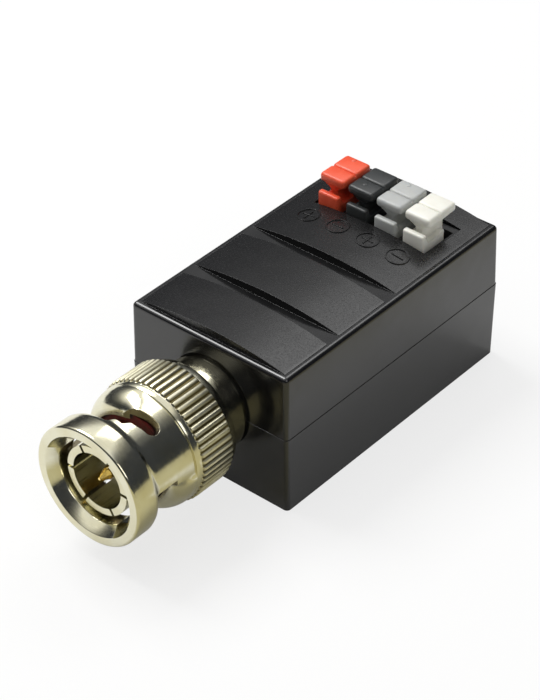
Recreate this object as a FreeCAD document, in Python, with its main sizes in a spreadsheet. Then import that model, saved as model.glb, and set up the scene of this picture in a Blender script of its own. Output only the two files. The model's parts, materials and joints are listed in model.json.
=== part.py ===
"""Video balun: a small moulded case with a bayonet plug at the front and four lever terminals on top.

The frame is +X right, +Y to the rear and +Z up, in millimetres. The origin is the centre of the
case's bottom face. The plug points along -Y, with its axis in the plane where the two shells part.
"""
import FreeCAD, Part
import os
import re

import Sketcher
from FreeCAD import Placement, Rotation, Vector

SIZES = [
    # Case shells
    ("case_width", 21.2),
    ("case_length", 35.8),
    ("case_height", 17.2),
    ("axis_height", 9.5),
    ("draft_angle", 0.9),
    ("shell_step", 0.05),
    ("wall_thickness", 1.5),
    ("floor_thickness", 1.5),
    ("roof_thickness", 1.2),
    ("corner_radius", 0.5),
    ("top_edge_radius", 0.5),
    ("tongue_height", 0.8),
    ("tongue_thickness", 0.7),
    ("shell_gap", 0.05),
    # Raised panels on the top
    ("rim_width", 0.75),
    ("front_panel_length", 6.6),
    ("middle_panel_length", 7.55),
    ("channel_width", 1.88),
    ("panel_side_height", 0.05),
    ("panel_crown", 0.95),
    ("panel_root", 0.6),
    # Circuit board and what stands on it
    ("board_side_gap", 0.7),
    ("board_thickness", 1.2),
    ("board_rear_gap", 0.4),
    ("solder_gap", 0.02),
    ("post_side", 1.3),
    ("peg_side", 0.6),
    ("peg_gap", 0.05),
    ("peg_rise", 0.5),
    ("post_inset", 2.1),
    ("front_post_place", 2.45),
    ("rear_post_place", 2.4),
    ("core_inner_radius", 2.2),
    ("core_outer_radius", 4.6),
    ("core_height", 4.0),
    ("winding_thickness", 0.5),
    ("winding_gap", 0.02),
    ("winding_sweep", 120),
    ("suppressor_inset", 0.9),
    ("suppressor_width", 4.4),
    ("suppressor_length", 3.6),
    ("suppressor_height", 2.3),
    ("suppressor_chamfer", 0.3),
    ("capacitor_inset", 2.4),
    ("capacitor_radius", 2.0),
    ("capacitor_height", 5.0),
    # Plug body, in lengths along the axis from the case's front face
    ("neck_radius", 5.0),
    ("neck_gap", 0.05),
    ("flange_radius", 5.9),
    ("flange_thickness", 1.3),
    ("flange_gap", 0.1),
    ("rib_thickness", 1.0),
    ("boss_radius", 4.2),
    ("boss_reach", 0.2),
    ("leg_spread", 3.75),
    ("leg_width", 0.8),
    ("leg_height", 1.2),
    ("leg_length", 2.4),
    ("collar_gap", 0.5),
    ("collar_length", 2.5),
    ("collar_radius", 5.4),
    ("stem_radius", 4.85),
    ("stem_end", 9.4),
    ("running_gap", 0.05),
    ("ring_place", 5.95),
    ("ring_thickness", 0.6),
    ("ring_groove_depth", 0.4),
    ("ring_outer_radius", 5.45),
    ("ring_opening", 50),
    ("washer_outer_radius", 5.5),
    ("washer_thickness", 0.3),
    ("washer_bow", 0.6),
    ("sleeve_outer_radius", 4.05),
    ("sleeve_inner_radius", 3.25),
    ("sleeve_root", 7.4),
    ("sleeve_end", 16.8),
    ("slit_count", 6),
    ("slit_width", 0.35),
    ("slit_length", 5.5),
    ("press_gap", 0.02),
    ("insulator_end", 9.6),
    ("pin_radius", 0.675),
    ("pin_tip_radius", 0.15),
    ("pin_cone_length", 1.15),
    ("pin_end", 16.45),
    ("pin_tail", 2.2),
    ("gasket_radius", 5.4),
    ("gasket_end", 11.5),
    # Coupling nut
    ("nut_start", 3.1),
    ("nut_rear_radius", 6.45),
    ("washer_seat", 4.4),
    ("knurl_start", 4.17),
    ("knurl_end", 8.73),
    ("knurl_radius", 7.2),
    ("knurl_crest", 0.19),
    ("knurl_slope", 0.913),
    ("knurl_floor", 0.03),
    ("knurl_count", 57),
    ("band_radius", 6.93),
    ("band_end", 9.4),
    ("band_step", 0.12),
    ("barrel_radius", 6.62),
    ("chamber_radius", 5.6),
    ("lip_start", 15.5),
    ("lip_flare", 0.35),
    ("lip_radius", 6.95),
    ("lip_chamfer", 0.35),
    ("nut_end", 18.2),
    ("mouth_radius", 5.7),
    ("mouth_depth", 1.1),
    ("nut_bore_radius", 4.95),
    ("window_start", 88),
    ("window_sweep", 97),
    ("window_back", 10.8),
    ("window_slope", 1.0),
    ("stud_channel_radius", 5.8),
    ("stud_channel_start", 123),
    ("stud_channel_sweep", 32),
    ("cam_aim", 74),
    ("cam_back", 11.3),
    ("cam_end_place", -0.93),
    ("cam_end_radius", 0.9),
    ("cam_corner_place", 1.1),
    ("cam_rise", 0.7),
    ("cam_corner_size", 0.7),
    ("cut_reach", 8.5),
    # Lever terminals, in lengths from the row's own middle and heights from the board
    ("terminal_pitch", 3.9),
    ("terminal_offset", 0.352),
    ("terminal_place", 6.75),
    ("terminal_count", 4),
    ("opening_gap", 0.1),
    ("window_side", 1.9),
    ("opening_front", 3.15),
    ("opening_rear", 3.05),
    ("block_side", 2.0),
    ("block_front", 4.15),
    ("block_roof_gap", 0.1),
    ("block_rise", 0.2),
    ("nose_recess", 0.35),
    ("nose_side", 1.7),
    ("nose_floor", 1.1),
    ("nose_top", 4.7),
    ("chamber_width", 3.0),
    ("chamber_front", 4.15),
    ("chamber_rear", 3.35),
    ("chamber_floor", 1.1),
    ("well_depth", 2.3),
    ("well_thickness", 1.0),
    ("slide_gap", 0.1),
    ("wire_hole_radius", 1.0),
    ("wire_hole_height", 2.6),
    ("lead_length", 0.7),
    ("lead_gap", 0.1),
    ("lead_reach", 1.4),
    ("blade_place", 1.25),
    ("blade_thickness", 0.4),
    ("blade_front", 1.2),
    ("strip_front", 0.75),
    ("strip_rear", 3.25),
    ("strip_width", 2.2),
    ("strip_height", 3.4),
    ("lead_place", 2.2),
    ("spring_thickness", 0.35),
    ("spring_width", 2.0),
    ("spring_offset", -0.15),
    ("spring_height", 2.1),
    ("spring_bend_place", -2.75),
    ("spring_end", 2.9),
    # Levers, in lengths from each lever's own middle and heights from the block's top
    ("lever_width", 3.4),
    ("lever_length", 4.8),
    ("lever_thickness", 1.1),
    ("lever_rise", 4.0),
    ("lever_corner", 0.3),
    ("lever_chamfer", 0.25),
    ("lever_groove_place", -0.1),
    ("lever_groove_width", 0.8),
    ("lever_groove_depth", 0.62),
    ("lever_groove_margin", 0.5),
    ("tray_width", 2.9),
    ("tray_front", 2.95),
    ("tray_rear", 2.05),
    ("tray_bottom", -1.0),
    ("tray_top", 2.6),
    ("tray_plate", 0.6),
    ("tray_dip", 0.9),
    ("tray_dip_place", -1.1),
    ("tray_tail_rise", 1.5),
    ("web_front", 2.0),
    ("web_rear", 1.2),
    ("web_front_width", 1.0),
    ("web_rear_width", 1.7),
    ("web_flare_height", 0.9),
    ("web_flare_width", 2.6),
    ("shank_width", 2.5),
    ("shank_front", 2.5),
    ("shank_rear", 0.3),
    ("barb_reach", 0.3),
    ("barb_height", 0.8),
    ("barb_gap", 0.05),
]

# Places worked out from the sizes
BOARD_TOP = "(axis_height - pin_radius - solder_gap)"
BOARD_BOTTOM = f"({BOARD_TOP} - board_thickness)"
CAVITY_SIDE = "(case_width / 2 - wall_thickness)"
CAVITY_END = "(case_length / 2 - wall_thickness)"
CAVITY_TOP = "(case_height - roof_thickness)"
NUT_FLANGE_BORE = "(stem_radius + running_gap)"
FLANGE_FRONT = "(0 - wall_thickness - flange_gap)"
FLANGE_BACK = f"({FLANGE_FRONT} - flange_thickness)"
RIB_FRONT = f"({FLANGE_BACK} - flange_gap)"
RIB_BACK = f"({RIB_FRONT} - rib_thickness)"
BOSS_BACK = f"({RIB_BACK} - boss_reach)"
BOARD_FRONT = f"(0 - case_length / 2 - {BOSS_BACK} + peg_gap)"
BOARD_REAR = f"({CAVITY_END} - board_rear_gap)"
PANEL_SIDE = "(case_width / 2 - rim_width)"
FRONT_PANEL_START = "(rim_width - case_length / 2)"
FRONT_PANEL_END = f"({FRONT_PANEL_START} + front_panel_length)"
MIDDLE_PANEL_START = f"({FRONT_PANEL_END} + channel_width)"
MIDDLE_PANEL_END = f"({MIDDLE_PANEL_START} + middle_panel_length)"
REAR_PANEL_START = f"({MIDDLE_PANEL_END} + channel_width)"
REAR_PANEL_END = "(case_length / 2 - rim_width)"
ROW_REACH = "((terminal_count - 1) * terminal_pitch / 2)"
TERMINAL_MIDDLE = f"(({CAVITY_SIDE} - {ROW_REACH} - block_side) * terminal_offset)"
TERMINAL_PLACE = "(case_length / 2 - terminal_place)"
BLOCK_FRONT = f"({TERMINAL_PLACE} - block_front)"
BLOCK_REAR = "(terminal_place - wall_thickness - opening_gap)"
BLOCK_TOP = f"(case_height + block_rise - {BOARD_TOP})"
WELL_FLOOR = f"({BLOCK_TOP} - well_depth)"
CHAMBER_TOP = f"({WELL_FLOOR} - well_thickness)"
LEGS_END = f"(leg_length - case_length / 2 - {BOSS_BACK})"
WINDING_REACH = "(core_outer_radius + winding_gap + winding_thickness)"
BOARD_GAP = f"(({BLOCK_FRONT} - {LEGS_END} - 2 * {WINDING_REACH} - 2 * capacitor_radius) / 3)"
CORE_PLACE = f"({LEGS_END} + {BOARD_GAP} + {WINDING_REACH})"
COMPONENT_PLACE = f"({BLOCK_FRONT} - {BOARD_GAP} - capacitor_radius)"
POST_SPREAD = f"({CAVITY_SIDE} - post_inset)"
OPENING_SIDE = f"({ROW_REACH} + window_side)"
NOSE_SIDE = f"({ROW_REACH} + nose_side)"
LEVER_COLOURS = ["red", "black", "grey", "white"]

# An upright edge is longer than this, and leans less than this for its length
SHORT_EDGE = 1.0
MOST_LEAN = 0.05
# Two places nearer than this are the same
SAME_PLACE = 0.0001

NAMES = {name for name, value in SIZES}
doc = FreeCAD.newDocument("video_balun")
sheet = doc.addObject("Spreadsheet::Sheet", "Sizes")
sub_parts = []


def fill_sheet():
    """One row for each size: its name, and its value under an alias of that name."""
    for row, (name, value) in enumerate(SIZES, start=1):
        sheet.set(f"A{row}", name)
        sheet.set(f"B{row}", str(value))
        sheet.setAlias(f"B{row}", name)
    doc.recompute()


def linked(text):
    """An expression with each size's name led by the name of its sheet."""

    def with_sheet(match):
        word = match.group()
        return "Sizes." + word if word in NAMES else word

    return re.sub(r"[a-z_]+", with_sheet, text)


def value_of(text):
    """The number that an expression gives with the present sizes."""
    value = sheet.evalExpression(linked(text).replace("Sizes.", ""))
    return float(getattr(value, "Value", value))


def new_body(label):
    """An empty body that becomes one sub-part."""
    body = doc.addObject("PartDesign::Body", label)
    body.Label = label
    sub_parts.append(body)
    return body


def place_body(body, across="0", along="0", height="0", turn=None):
    """Put a body's own origin at a point of the part's frame."""
    if turn is not None:
        body.Placement = Placement(Vector(0, 0, 0), turn)
    body.setExpression("Placement.Base.x", linked(across))
    body.setExpression("Placement.Base.y", linked(along))
    body.setExpression("Placement.Base.z", linked(height))


def place_on_plug_axis(body):
    """The body's own Z axis becomes the plug's axis, leaving the case's front face."""
    place_body(body, "0", "0 - case_length / 2", "axis_height", Rotation(Vector(1, 0, 0), 90))


def origin_feature(body, role):
    """One of a body's own origin planes or axes, such as XY_Plane or Z_Axis."""
    return next(feature for feature in body.Origin.OriginFeatures if feature.Role == role)


def new_sketch(body, plane, name, lift="0", turn="0"):
    """An empty sketch on one of the body's planes, lifted along its normal or turned about its upright."""
    sketch = body.newObject("Sketcher::SketchObject", name)
    sketch.AttachmentSupport = [(origin_feature(body, plane), "")]
    sketch.MapMode = "FlatFace"
    if turn != "0":
        sketch.AttachmentOffset = Placement(Vector(0, 0, 0), Rotation(Vector(0, 1, 0), value_of(turn)))
        sketch.setExpression("AttachmentOffset.Rotation.Angle", linked(turn))
    if lift != "0":
        sketch.setExpression("AttachmentOffset.Base.z", linked(lift))
    return sketch


def fix_value(sketch, constraint, text):
    """Add a constraint and bind it to an expression."""
    index = sketch.addConstraint(constraint)
    sketch.setExpression(f"Constraints[{index}]", linked(text))


def draw_outline(sketch, corners, arcs=None):
    """A closed outline through corners given as expressions.

    arcs maps a side to the hand that it bends to, seen along the side, and its radius. A side
    with no radius is half round.
    """
    arcs = arcs or {}
    points = [Vector(value_of(across), value_of(up), 0) for across, up in corners]
    first = sketch.GeometryCount
    count = len(points)
    for side, start in enumerate(points):
        end = points[(side + 1) % count]
        if side in arcs:
            sketch.addGeometry(arc_between(start, end, *arcs[side]), False)
        else:
            sketch.addGeometry(Part.LineSegment(start, end), False)
    for side, (across, up) in enumerate(corners):
        # An arc that bends to the left runs clockwise, so its geometry starts at its far end.
        here, far = (2, 1) if arcs.get(side, ("right",))[0] == "left" else (1, 2)
        following = (side + 1) % count
        following_start = 2 if arcs.get(following, ("right",))[0] == "left" else 1
        index = first + side
        sketch.addConstraint(
            Sketcher.Constraint("Coincident", index, far, first + following, following_start)
        )
        fix_value(sketch, Sketcher.Constraint("DistanceX", -1, 1, index, here, points[side].x), across)
        fix_value(sketch, Sketcher.Constraint("DistanceY", -1, 1, index, here, points[side].y), up)
        if side not in arcs:
            continue
        radius = arcs[side][1]
        if radius is not None:
            fix_value(sketch, Sketcher.Constraint("Radius", index, value_of(radius)), radius)
        elif points[side].x == points[following].x:
            fix_value(sketch, Sketcher.Constraint("DistanceX", -1, 1, index, 3, points[side].x), across)
        else:
            fix_value(sketch, Sketcher.Constraint("DistanceY", -1, 1, index, 3, points[side].y), up)
    return sketch


def arc_between(start, end, hand, radius):
    """The shorter arc between two points, bending to the left or the right."""
    chord = end - start
    half = chord.Length / 2
    size = half if radius is None else value_of(radius)
    rise = size - max(size * size - half * half, 0) ** 0.5
    outward = Vector(-chord.y, chord.x, 0).normalize()
    if hand == "right":
        outward = outward * -1
    return Part.Arc(start, (start + end) * 0.5 + outward * rise, end)


def draw_rectangle(sketch, left, right, low, high):
    """A rectangle between two pairs of expressions."""
    return draw_outline(sketch, [(left, low), (right, low), (right, high), (left, high)])


def draw_square(sketch, across, up, reach):
    """A square about a point, reaching as far to each side."""
    left = f"{across} - {reach}"
    right = f"{across} + {reach}"
    draw_rectangle(sketch, left, right, f"{up} - {reach}", f"{up} + {reach}")


def draw_circle(sketch, across, up, radius):
    """A circle whose middle and radius are expressions."""
    middle = Vector(value_of(across), value_of(up), 0)
    index = sketch.addGeometry(Part.Circle(middle, Vector(0, 0, 1), value_of(radius)), False)
    fix_value(sketch, Sketcher.Constraint("DistanceX", -1, 1, index, 3, middle.x), across)
    fix_value(sketch, Sketcher.Constraint("DistanceY", -1, 1, index, 3, middle.y), up)
    fix_value(sketch, Sketcher.Constraint("Radius", index, value_of(radius)), radius)
    return sketch


def add_pad(body, sketch, length, name, taper=None, midplane=False):
    """Material along the sketch's normal."""
    feature = body.newObject("PartDesign::Pad", name)
    feature.Profile = sketch
    feature.setExpression("Length", linked(length))
    feature.Midplane = midplane
    if taper:
        feature.setExpression("TaperAngle", linked(taper))
    doc.recompute()
    return feature


def add_cut(body, kind, sketch, name, settings):
    """A pocket or groove. It has to take material away."""
    before = body.Shape.Volume
    feature = body.newObject("PartDesign::" + kind, name)
    feature.Profile = sketch
    for key, setting in settings.items():
        if isinstance(setting, str):
            feature.setExpression(key, linked(setting))
        else:
            setattr(feature, key, setting)
    doc.recompute()
    if not body.Shape.Volume < before:
        raise ValueError(f"{name} cuts nothing")
    return feature


def add_pocket(body, sketch, length, name, along_normal=False, midplane=False):
    """A cut against the sketch's normal, or along it."""
    settings = {"Length": length, "Reversed": along_normal, "Midplane": midplane}
    return add_cut(body, "Pocket", sketch, name, settings)


def add_groove(body, sketch, sweep, name):
    """A cut turned about the body's Z axis, from the sketch's plane towards larger angles."""
    settings = {"ReferenceAxis": (sketch, ["V_Axis"]), "Angle": sweep}
    return add_cut(body, "Groove", sketch, name, settings)


def add_revolution(body, sketch, name, sweep="360"):
    """Material turned about the body's Z axis."""
    feature = body.newObject("PartDesign::Revolution", name)
    feature.Profile = sketch
    feature.ReferenceAxis = (sketch, ["V_Axis"])
    feature.setExpression("Angle", linked(sweep))
    doc.recompute()
    return feature


def add_polar_pattern(body, features, count, name):
    """Copies of features in equal steps about the body's Z axis."""
    pattern = body.newObject("PartDesign::PolarPattern", name)
    pattern.Originals = features
    pattern.Axis = (origin_feature(body, "Z_Axis"), [""])
    pattern.Angle = 360
    pattern.setExpression("Occurrences", linked(count))
    body.Tip = pattern
    doc.recompute()
    return pattern


def add_row_pattern(body, features, count, pitch, name):
    """Copies of features in equal steps along the body's X axis."""
    pattern = body.newObject("PartDesign::LinearPattern", name)
    pattern.Originals = features
    pattern.Direction = (origin_feature(body, "X_Axis"), [""])
    pattern.setExpression("Length", linked(f"({count} - 1) * {pitch}"))
    pattern.setExpression("Occurrences", linked(count))
    body.Tip = pattern
    doc.recompute()
    return pattern


def chosen_edges(body, test):
    """The names of the edges of the body's last feature that pass a test."""
    edges = body.Tip.Shape.Edges
    return [f"Edge{index}" for index, edge in enumerate(edges, start=1) if test(edge)]


def add_edge_feature(body, kind, test, size, name):
    """A fillet or chamfer on the edges that pass a test."""
    base = body.Tip
    names = chosen_edges(body, test)
    if not names:
        raise ValueError(f"{name} finds no edge")
    feature = body.newObject("PartDesign::" + kind, name)
    feature.Base = (base, names)
    feature.setExpression("Radius" if kind == "Fillet" else "Size", linked(size))
    doc.recompute()
    return feature


def is_upright(edge):
    """True for a straight edge that runs up, or nearly up with the draft."""
    box = edge.BoundBox
    lean = max(box.XLength, box.YLength)
    return box.ZLength > SHORT_EDGE and lean < MOST_LEAN * box.ZLength


def lies_at_height(edge, height):
    """True for an edge in the level plane at a height."""
    box = edge.BoundBox
    return abs(box.ZMin - height) < SAME_PLACE and abs(box.ZMax - height) < SAME_PLACE


def add_rim_chamfer(body, height, size, name):
    """A chamfer on the edges in the level plane at a height."""
    level = value_of(height)
    return add_edge_feature(body, "Chamfer", lambda edge: lies_at_height(edge, level), size, name)


def is_outer_corner(edge):
    """True for an upright edge at a corner of the case."""
    side = value_of(CAVITY_SIDE)
    middle = edge.BoundBox.Center
    return is_upright(edge) and abs(middle.x) > side


def build_lower_case():
    """Lower shell: tray with a tongue round its edge, a half-round seat for the plug and board posts."""
    body = new_body("lower_case")
    outside = new_sketch(body, "XY_Plane", "lower_outline")
    draw_rectangle(outside, "0 - case_width / 2", "case_width / 2", "0 - case_length / 2", "case_length / 2")
    add_pad(body, outside, "axis_height", "lower_block", taper="draft_angle")
    add_edge_feature(body, "Fillet", is_outer_corner, "corner_radius", "lower_corners")
    reach = "tongue_thickness"
    tongue = new_sketch(body, "XY_Plane", "tongue_outline", "axis_height")
    draw_rectangle(
        tongue,
        f"0 - {CAVITY_SIDE} - {reach}",
        f"{CAVITY_SIDE} + {reach}",
        f"0 - {CAVITY_END} - {reach}",
        f"{CAVITY_END} + {reach}",
    )
    add_pad(body, tongue, "tongue_height", "tongue")
    hollow = new_sketch(body, "XY_Plane", "lower_hollow_outline", "axis_height + tongue_height")
    draw_rectangle(hollow, f"0 - {CAVITY_SIDE}", CAVITY_SIDE, f"0 - {CAVITY_END}", CAVITY_END)
    add_pocket(body, hollow, "axis_height + tongue_height - floor_thickness", "lower_hollow")
    rib = new_sketch(body, "XY_Plane", "lower_rib_outline", "floor_thickness")
    draw_rectangle(
        rib,
        f"0 - {CAVITY_SIDE}",
        CAVITY_SIDE,
        f"0 - case_length / 2 - {RIB_FRONT}",
        f"0 - case_length / 2 - {RIB_BACK}",
    )
    add_pad(body, rib, "axis_height - floor_thickness", "lower_rib")
    cut_plug_seat(body, "lower")
    nose_notch = new_sketch(body, "XY_Plane", "nose_notch_outline", "axis_height + tongue_height")
    draw_rectangle(
        nose_notch,
        f"{TERMINAL_MIDDLE} - {NOSE_SIDE} - opening_gap",
        f"{TERMINAL_MIDDLE} + {NOSE_SIDE} + opening_gap",
        f"{CAVITY_END} - shell_gap",
        f"{CAVITY_END} + tongue_thickness + shell_gap",
    )
    add_pocket(body, nose_notch, "tongue_height", "nose_notch")
    for index, (across, along) in enumerate(post_places(), start=1):
        post = new_sketch(body, "XY_Plane", f"post_outline_{index}", "floor_thickness / 2")
        draw_square(post, across, along, "post_side")
        add_pad(body, post, f"{BOARD_BOTTOM} - floor_thickness / 2", f"post_{index}")
    for index, (across, along) in enumerate(peg_places(), start=1):
        peg = new_sketch(body, "XY_Plane", f"peg_outline_{index}", f"{BOARD_BOTTOM} - floor_thickness")
        draw_square(peg, across, along, "peg_side")
        add_pad(body, peg, "board_thickness + floor_thickness + peg_rise", f"peg_{index}")


def post_places():
    """The four board posts, as pairs of expressions."""
    front = f"({BOARD_FRONT} + front_post_place)"
    rear = f"({BLOCK_FRONT} - rear_post_place)"
    left = f"(0 - {POST_SPREAD})"
    return [(left, front), (left, rear), (POST_SPREAD, rear), (POST_SPREAD, front)]


def peg_places():
    """The two posts, at opposite corners, that carry a locating peg."""
    return post_places()[::2]


def cut_plug_seat(body, shell):
    """Half-round seats for the plug's neck in the front wall and for its boss in the rib."""
    wall_back = "case_length / 2 - wall_thickness - flange_gap"
    neck = new_sketch(body, "XZ_Plane", f"{shell}_neck_outline", wall_back)
    draw_circle(neck, "0", "axis_height", "neck_radius + neck_gap")
    add_pocket(body, neck, "2 * wall_thickness", f"{shell}_neck_seat", along_normal=True)
    rib_back = f"case_length / 2 + {RIB_BACK} - flange_gap"
    boss = new_sketch(body, "XZ_Plane", f"{shell}_boss_outline", rib_back)
    draw_circle(boss, "0", "axis_height", "boss_radius + neck_gap")
    add_pocket(body, boss, "rib_thickness + 2 * flange_gap", f"{shell}_boss_seat", along_normal=True)


def build_upper_case():
    """Upper shell: hood with three crowned panels, the lever opening and the rear wire opening."""
    body = new_body("upper_case")
    rise = "(case_height - axis_height)"
    side = "(case_width / 2 + axis_height * tan(draft_angle) - shell_step)"
    end = "(case_length / 2 + axis_height * tan(draft_angle) - shell_step)"
    outside = new_sketch(body, "XY_Plane", "upper_outline", "axis_height")
    draw_rectangle(outside, f"0 - {side}", side, f"0 - {end}", end)
    add_pad(body, outside, rise, "upper_block", taper="0 - draft_angle")
    add_edge_feature(body, "Fillet", is_outer_corner, "corner_radius", "upper_corners")
    top = value_of("case_height")
    add_edge_feature(body, "Fillet", lambda edge: lies_at_height(edge, top), "top_edge_radius", "upper_edges")
    add_panel(body, "front_panel", FRONT_PANEL_START, FRONT_PANEL_END)
    add_panel(body, "middle_panel", MIDDLE_PANEL_START, MIDDLE_PANEL_END)
    add_panel(body, "rear_panel", REAR_PANEL_START, REAR_PANEL_END)
    hollow = new_sketch(body, "XY_Plane", "upper_hollow_outline", "axis_height")
    draw_rectangle(hollow, f"0 - {CAVITY_SIDE}", CAVITY_SIDE, f"0 - {CAVITY_END}", CAVITY_END)
    add_pocket(body, hollow, f"{CAVITY_TOP} - axis_height", "upper_hollow", along_normal=True)
    reach = "(tongue_thickness + shell_gap)"
    rebate = new_sketch(body, "XY_Plane", "rebate_outline", "axis_height")
    draw_rectangle(
        rebate,
        f"0 - {CAVITY_SIDE} - {reach}",
        f"{CAVITY_SIDE} + {reach}",
        f"0 - {CAVITY_END} - {reach}",
        f"{CAVITY_END} + {reach}",
    )
    add_pocket(body, rebate, "tongue_height + shell_gap", "rebate", along_normal=True)
    rib = new_sketch(body, "XY_Plane", "upper_rib_outline", "axis_height + shell_gap")
    draw_rectangle(
        rib,
        f"0 - {CAVITY_SIDE}",
        CAVITY_SIDE,
        f"0 - case_length / 2 - {RIB_FRONT}",
        f"0 - case_length / 2 - {RIB_BACK}",
    )
    add_pad(body, rib, f"{CAVITY_TOP} - axis_height", "upper_rib")
    cut_plug_seat(body, "upper")
    lever_opening = new_sketch(body, "XY_Plane", "lever_opening_outline", "case_height + 2 * panel_crown")
    draw_rectangle(
        lever_opening,
        f"{TERMINAL_MIDDLE} - {OPENING_SIDE}",
        f"{TERMINAL_MIDDLE} + {OPENING_SIDE}",
        f"{TERMINAL_PLACE} - opening_front",
        f"{TERMINAL_PLACE} + opening_rear",
    )
    add_pocket(body, lever_opening, "2 * roof_thickness + 2 * panel_crown", "lever_opening")
    wire_opening = new_sketch(body, "XY_Plane", "wire_opening_outline", "axis_height")
    draw_rectangle(
        wire_opening,
        f"{TERMINAL_MIDDLE} - {NOSE_SIDE} - opening_gap",
        f"{TERMINAL_MIDDLE} + {NOSE_SIDE} + opening_gap",
        f"{CAVITY_END} - opening_gap",
        "case_length / 2 + wall_thickness",
    )
    opening_top = f"{BOARD_TOP} + nose_top + opening_gap"
    add_pocket(body, wire_opening, f"{opening_top} - axis_height", "wire_opening", along_normal=True)


def add_panel(body, name, start, end):
    """A raised panel with a crowned top, between two places along the case."""
    foot = "case_height - panel_root"
    shoulder = "case_height + panel_side_height"
    sketch = new_sketch(body, "XZ_Plane", f"{name}_section", f"0 - {end}")
    corners = [
        (f"0 - {PANEL_SIDE}", foot),
        (PANEL_SIDE, foot),
        (PANEL_SIDE, shoulder),
        (f"0 - {PANEL_SIDE}", shoulder),
    ]
    crown_radius = f"({PANEL_SIDE} * {PANEL_SIDE} + panel_crown * panel_crown) / (2 * panel_crown)"
    draw_outline(sketch, corners, {2: ("right", crown_radius)})
    add_pad(body, sketch, f"{end} - {start}", name)


def build_circuit_board():
    """Board with holes for the posts' pegs and for the terminals' leads."""
    body = new_body("circuit_board")
    outline = new_sketch(body, "XY_Plane", "board_outline")
    side = f"({CAVITY_SIDE} - board_side_gap)"
    draw_rectangle(outline, f"0 - {side}", side, BOARD_FRONT, BOARD_REAR)
    for across, along in peg_places():
        draw_square(outline, across, along, "(peg_side + peg_gap)")
    for index in range(len(LEVER_COLOURS)):
        draw_lead_hole(outline, terminal_across(index), TERMINAL_PLACE)
    add_pad(body, outline, "board_thickness", "board")
    place_body(body, height=BOARD_BOTTOM)


def draw_lead_hole(sketch, across, along):
    """A hole round the lead of the terminal whose middle is at a place."""
    half_width = "(blade_thickness / 2 + lead_gap)"
    half_length = "(lead_length / 2 + lead_gap)"
    draw_rectangle(
        sketch,
        f"{across} + blade_place - {half_width}",
        f"{across} + blade_place + {half_width}",
        f"{along} + lead_place - {half_length}",
        f"{along} + lead_place + {half_length}",
    )


def terminal_across(index):
    """Where a terminal's middle lies across the case."""
    return f"({TERMINAL_MIDDLE} + ({index} - (terminal_count - 1) / 2) * terminal_pitch)"


def build_transformer():
    """Ring core with two windings, each round its own part of the ring."""
    core = new_body("transformer_core")
    section = new_sketch(core, "XZ_Plane", "core_section")
    draw_rectangle(section, "core_inner_radius", "core_outer_radius", "0", "core_height")
    add_revolution(core, section, "core_ring")
    rest = f"({BOARD_TOP} + winding_thickness + winding_gap)"
    place_body(core, along=CORE_PLACE, height=rest)
    for label, middle in (("primary_winding", "180"), ("secondary_winding", "0")):
        winding = new_body(label)
        turns = new_sketch(winding, "XZ_Plane", label + "_section", turn=f"{middle} - winding_sweep / 2")
        thick = "winding_thickness + winding_gap"
        draw_rectangle(
            turns,
            f"core_inner_radius - {thick}",
            f"core_outer_radius + {thick}",
            f"0 - {thick}",
            f"core_height + {thick}",
        )
        draw_rectangle(
            turns,
            "core_inner_radius - winding_gap",
            "core_outer_radius + winding_gap",
            "0 - winding_gap",
            "core_height + winding_gap",
        )
        add_revolution(winding, turns, label + "_turns", "winding_sweep")
        place_body(winding, along=CORE_PLACE, height=rest)


def build_board_components():
    """Surge suppressor and coupling capacitor, seated on the board."""
    suppressor = new_body("surge_suppressor")
    outline = new_sketch(suppressor, "XY_Plane", "suppressor_outline")
    draw_rectangle(
        outline,
        "0 - suppressor_width / 2",
        "suppressor_width / 2",
        "0 - suppressor_length / 2",
        "suppressor_length / 2",
    )
    add_pad(suppressor, outline, "suppressor_height", "suppressor_block")
    add_rim_chamfer(suppressor, "suppressor_height", "suppressor_chamfer", "suppressor_edges")
    across = f"suppressor_inset + suppressor_width / 2 - {POST_SPREAD}"
    place_body(suppressor, across, COMPONENT_PLACE, BOARD_TOP)
    capacitor = new_body("coupling_capacitor")
    can = new_sketch(capacitor, "XY_Plane", "capacitor_outline")
    draw_circle(can, "0", "0", "capacitor_radius")
    add_pad(capacitor, can, "capacitor_height", "capacitor_can")
    across = f"{POST_SPREAD} - capacitor_inset - capacitor_radius"
    place_body(capacitor, across, COMPONENT_PLACE, BOARD_TOP)


def build_turned(label, corners, arcs=None):
    """A turned piece on the plug's axis. Corners are a radius and a length along the axis."""
    body = new_body(label)
    section = new_sketch(body, "XZ_Plane", label + "_section")
    draw_outline(section, corners, arcs)
    add_revolution(body, section, label + "_turning")
    place_on_plug_axis(body)
    return body


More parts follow.
